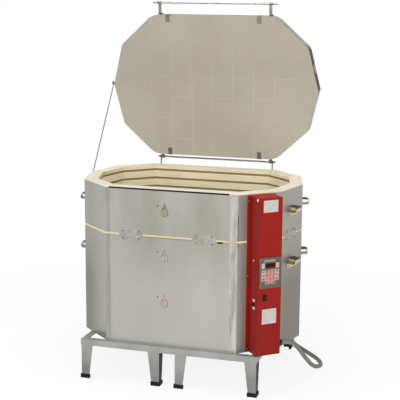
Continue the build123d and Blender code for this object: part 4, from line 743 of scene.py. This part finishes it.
silver_strip = printed(-36.0, 28.5, 57.0, 65.0)
beside_display = printed(-47.5, -30.5, 24.0, 50.0) + printed(30.5, 47.5, 24.0, 50.0)
beside_keys = printed(-47.0, -28.0, -37.0, 16.0) + printed(28.5, 47.0, -37.0, 16.0)
number_field = printed(-28.0, 28.0, -54.0, 16.0)
film_grey = at.noise(60.0).span(0.3, 0.7).mix(paint(78, 79, 72), paint(94, 95, 86))
film_pink = at.noise(80.0).span(0.3, 0.7).mix(paint(174, 128, 118), paint(188, 146, 134))
film_pale = at.noise(80.0).span(0.3, 0.7).mix(paint(168, 163, 152), paint(182, 177, 166))
film = (beside_display + beside_keys).span(0.0, 1.0).mix(film_grey, film_pale)
coat(
    keypad_film,
    Base_Color=silver_strip.mix(number_field.mix(film, film_pink), paint(150, 149, 142)),
    Roughness=at.noise(900.0).span(0.0, 1.0) * 0.1 + 0.35,
)
keypad = dressed("controller_keypad", keypad_film, 0.0)

# The middle keys carry plain red numbers from 0 to 9, and the other keys a red bar each. All are printed
# on the film's raised spots: three columns of four, with a column of three on each side.
key_print, at = finish("red_key_print")
coat(
    key_print,
    Base_Color=at.noise(300.0).span(0.3, 0.7).mix(paint(158, 26, 26), paint(176, 38, 38)),
    Roughness=at.noise(900.0).span(0.0, 1.0) * 0.1 + 0.4,
)
keypad.data.materials.append(key_print)
key_columns, key_places, last_row, middle_column = 5, 19, 3, 2
key_step, row_step, top_row = 0.0185, 0.018, 0.008
bar_half_wide, bar_half_high = 0.0060, 0.003
film_face = panel_middle + box_out * 0.09835
key_faces = Matrix((
    (box_way.x, 0.0, box_out.x, film_face.x),
    (box_way.y, 0.0, box_out.y, film_face.y),
    (0.0, 1.0, 0.0, film_face.z),
    (0.0, 0.0, 0.0, 1.0)))


def number_print(number):
    """The flat outline of a number."""
    line = bpy.data.curves.new("legend", "FONT")
    line.body, line.size, line.align_x, line.align_y = number, 0.0150, "CENTER", "CENTER"
    line.offset = 0.0006
    line.resolution_u = 3
    writer = bpy.data.objects.new("legend", line)
    outline = bpy.data.meshes.new_from_object(writer)
    bpy.data.objects.remove(writer)
    return outline


def bar_print():
    """A flat bar."""
    bar = bpy.data.meshes.new("legend")
    signs = ((-1, -1), (1, -1), (1, 1), (-1, 1))
    bar.from_pydata([(x * bar_half_wide, y * bar_half_high, 0.0) for x, y in signs], [], [(0, 1, 2, 3)])
    return bar


legends = bmesh.new()
legends.from_mesh(keypad.data)
for index in range(key_places):
    column, row = index % key_columns, index // key_columns
    if (column, row) == (0, last_row):
        continue
    if column in (1, 2, 3) and (row < last_row or column == middle_column):
        legend = number_print("0" if row == last_row else str(row * 3 + column))
    else:
        legend = bar_print()
    key = Matrix.Translation(((column - middle_column) * key_step, top_row - row * row_step, 0.0))
    legend.transform(key_faces @ key)
    before = len(legends.faces)
    legends.from_mesh(legend)
    legends.faces.ensure_lookup_table()
    for face in legends.faces[before:]:
        face.material_index = 1
legends.to_mesh(keypad.data)
legends.free()

# A dark red plastic window covers the controller's figures. The circuit board that carries them is fixed
# on four posts behind the film.
red_window, at = finish("red_window", Specular_IOR_Level=0.1)
coat(
    red_window,
    Base_Color=at.noise(60.0).span(0.3, 0.7).mix(paint(54, 5, 3), paint(70, 10, 6)),
    Roughness=at.noise(200.0).span(0.0, 1.0) * 0.05 + 0.4,
)
dressed("controller_display", red_window, 0.0003)
board_green, at = finish("circuit_board")
coat(
    board_green,
    Base_Color=at.noise(300.0, 4.0).span(0.45, 0.6).mix(paint(20, 70, 38), paint(38, 110, 58)),
    Roughness=at.noise(300.0).span(0.0, 1.0) * 0.2 + 0.4,
)
carried("controller_board", board_green)

# The power switch is a black rocker in a snap-in housing on the box's face. A small toggle with a short
# lever sits in the left wall, in the same moulded plastic.
black_plastic, at = finish("black_plastic", Specular_IOR_Level=0.25)
coat(
    black_plastic,
    Base_Color=at.noise(60.0).span(0.3, 0.7).mix(paint(9, 9, 9), paint(20, 20, 20)),
    Roughness=at.noise(900.0).span(0.0, 1.0) * 0.14 + 0.36,
    Normal=at.bump(at.noise(1200.0), 0.0001),
)
dressed("rocker_housing", black_plastic, 0.0004)
dressed("rocker", black_plastic, 0.0004)
dressed("toggle_body", black_plastic, 0.0003)
carried("toggle_lever", black_plastic)

# Two blank satin plates lie on the box's face, above and below the controls, and two pale plastic
# buttons close spare holes in its wall.
satin_plate, at = finish("satin_plate", Metallic=0.2)
coat(
    satin_plate,
    Base_Color=at.noise(40.0).span(0.3, 0.7).mix(paint(184, 179, 176), paint(198, 193, 191)),
    Roughness=at.noise(300.0).span(0.0, 1.0) * 0.12 + 0.34,
)
dressed("blank_plates", satin_plate, 0.0002)
pale_plastic, at = finish("pale_plastic")
coat(
    pale_plastic,
    Base_Color=at.noise(60.0).span(0.3, 0.7).mix(paint(206, 200, 186), paint(220, 215, 202)),
    Roughness=at.noise(400.0).span(0.0, 1.0) * 0.12 + 0.4,
)
dressed("blanking_buttons", pale_plastic, 0.0004)

# Inside the box are three relays, which switch the elements, and a terminal block for the cord. They
# have black plastic cases and are out of sight behind the cover.
for node in ("relays", "terminal_block"):
    carried(node, black_plastic)

# The cord leaves through a black gland with a hexagon and a rounded nut, and ends in a moulded plug
# with two flat blades and a round earth pin.
dressed("cord_gland", black_plastic, 0.0008)
carried("cord_plug", cord_grey)
brass, at = finish("brass", Metallic=0.95)
coat(
    brass,
    Base_Color=at.noise(90.0).span(0.3, 0.7).mix(paint(186, 152, 82), paint(206, 172, 102)),
    Roughness=at.noise(300.0).span(0.0, 1.0) * 0.15 + 0.25,
)
carried("plug_blades", brass)
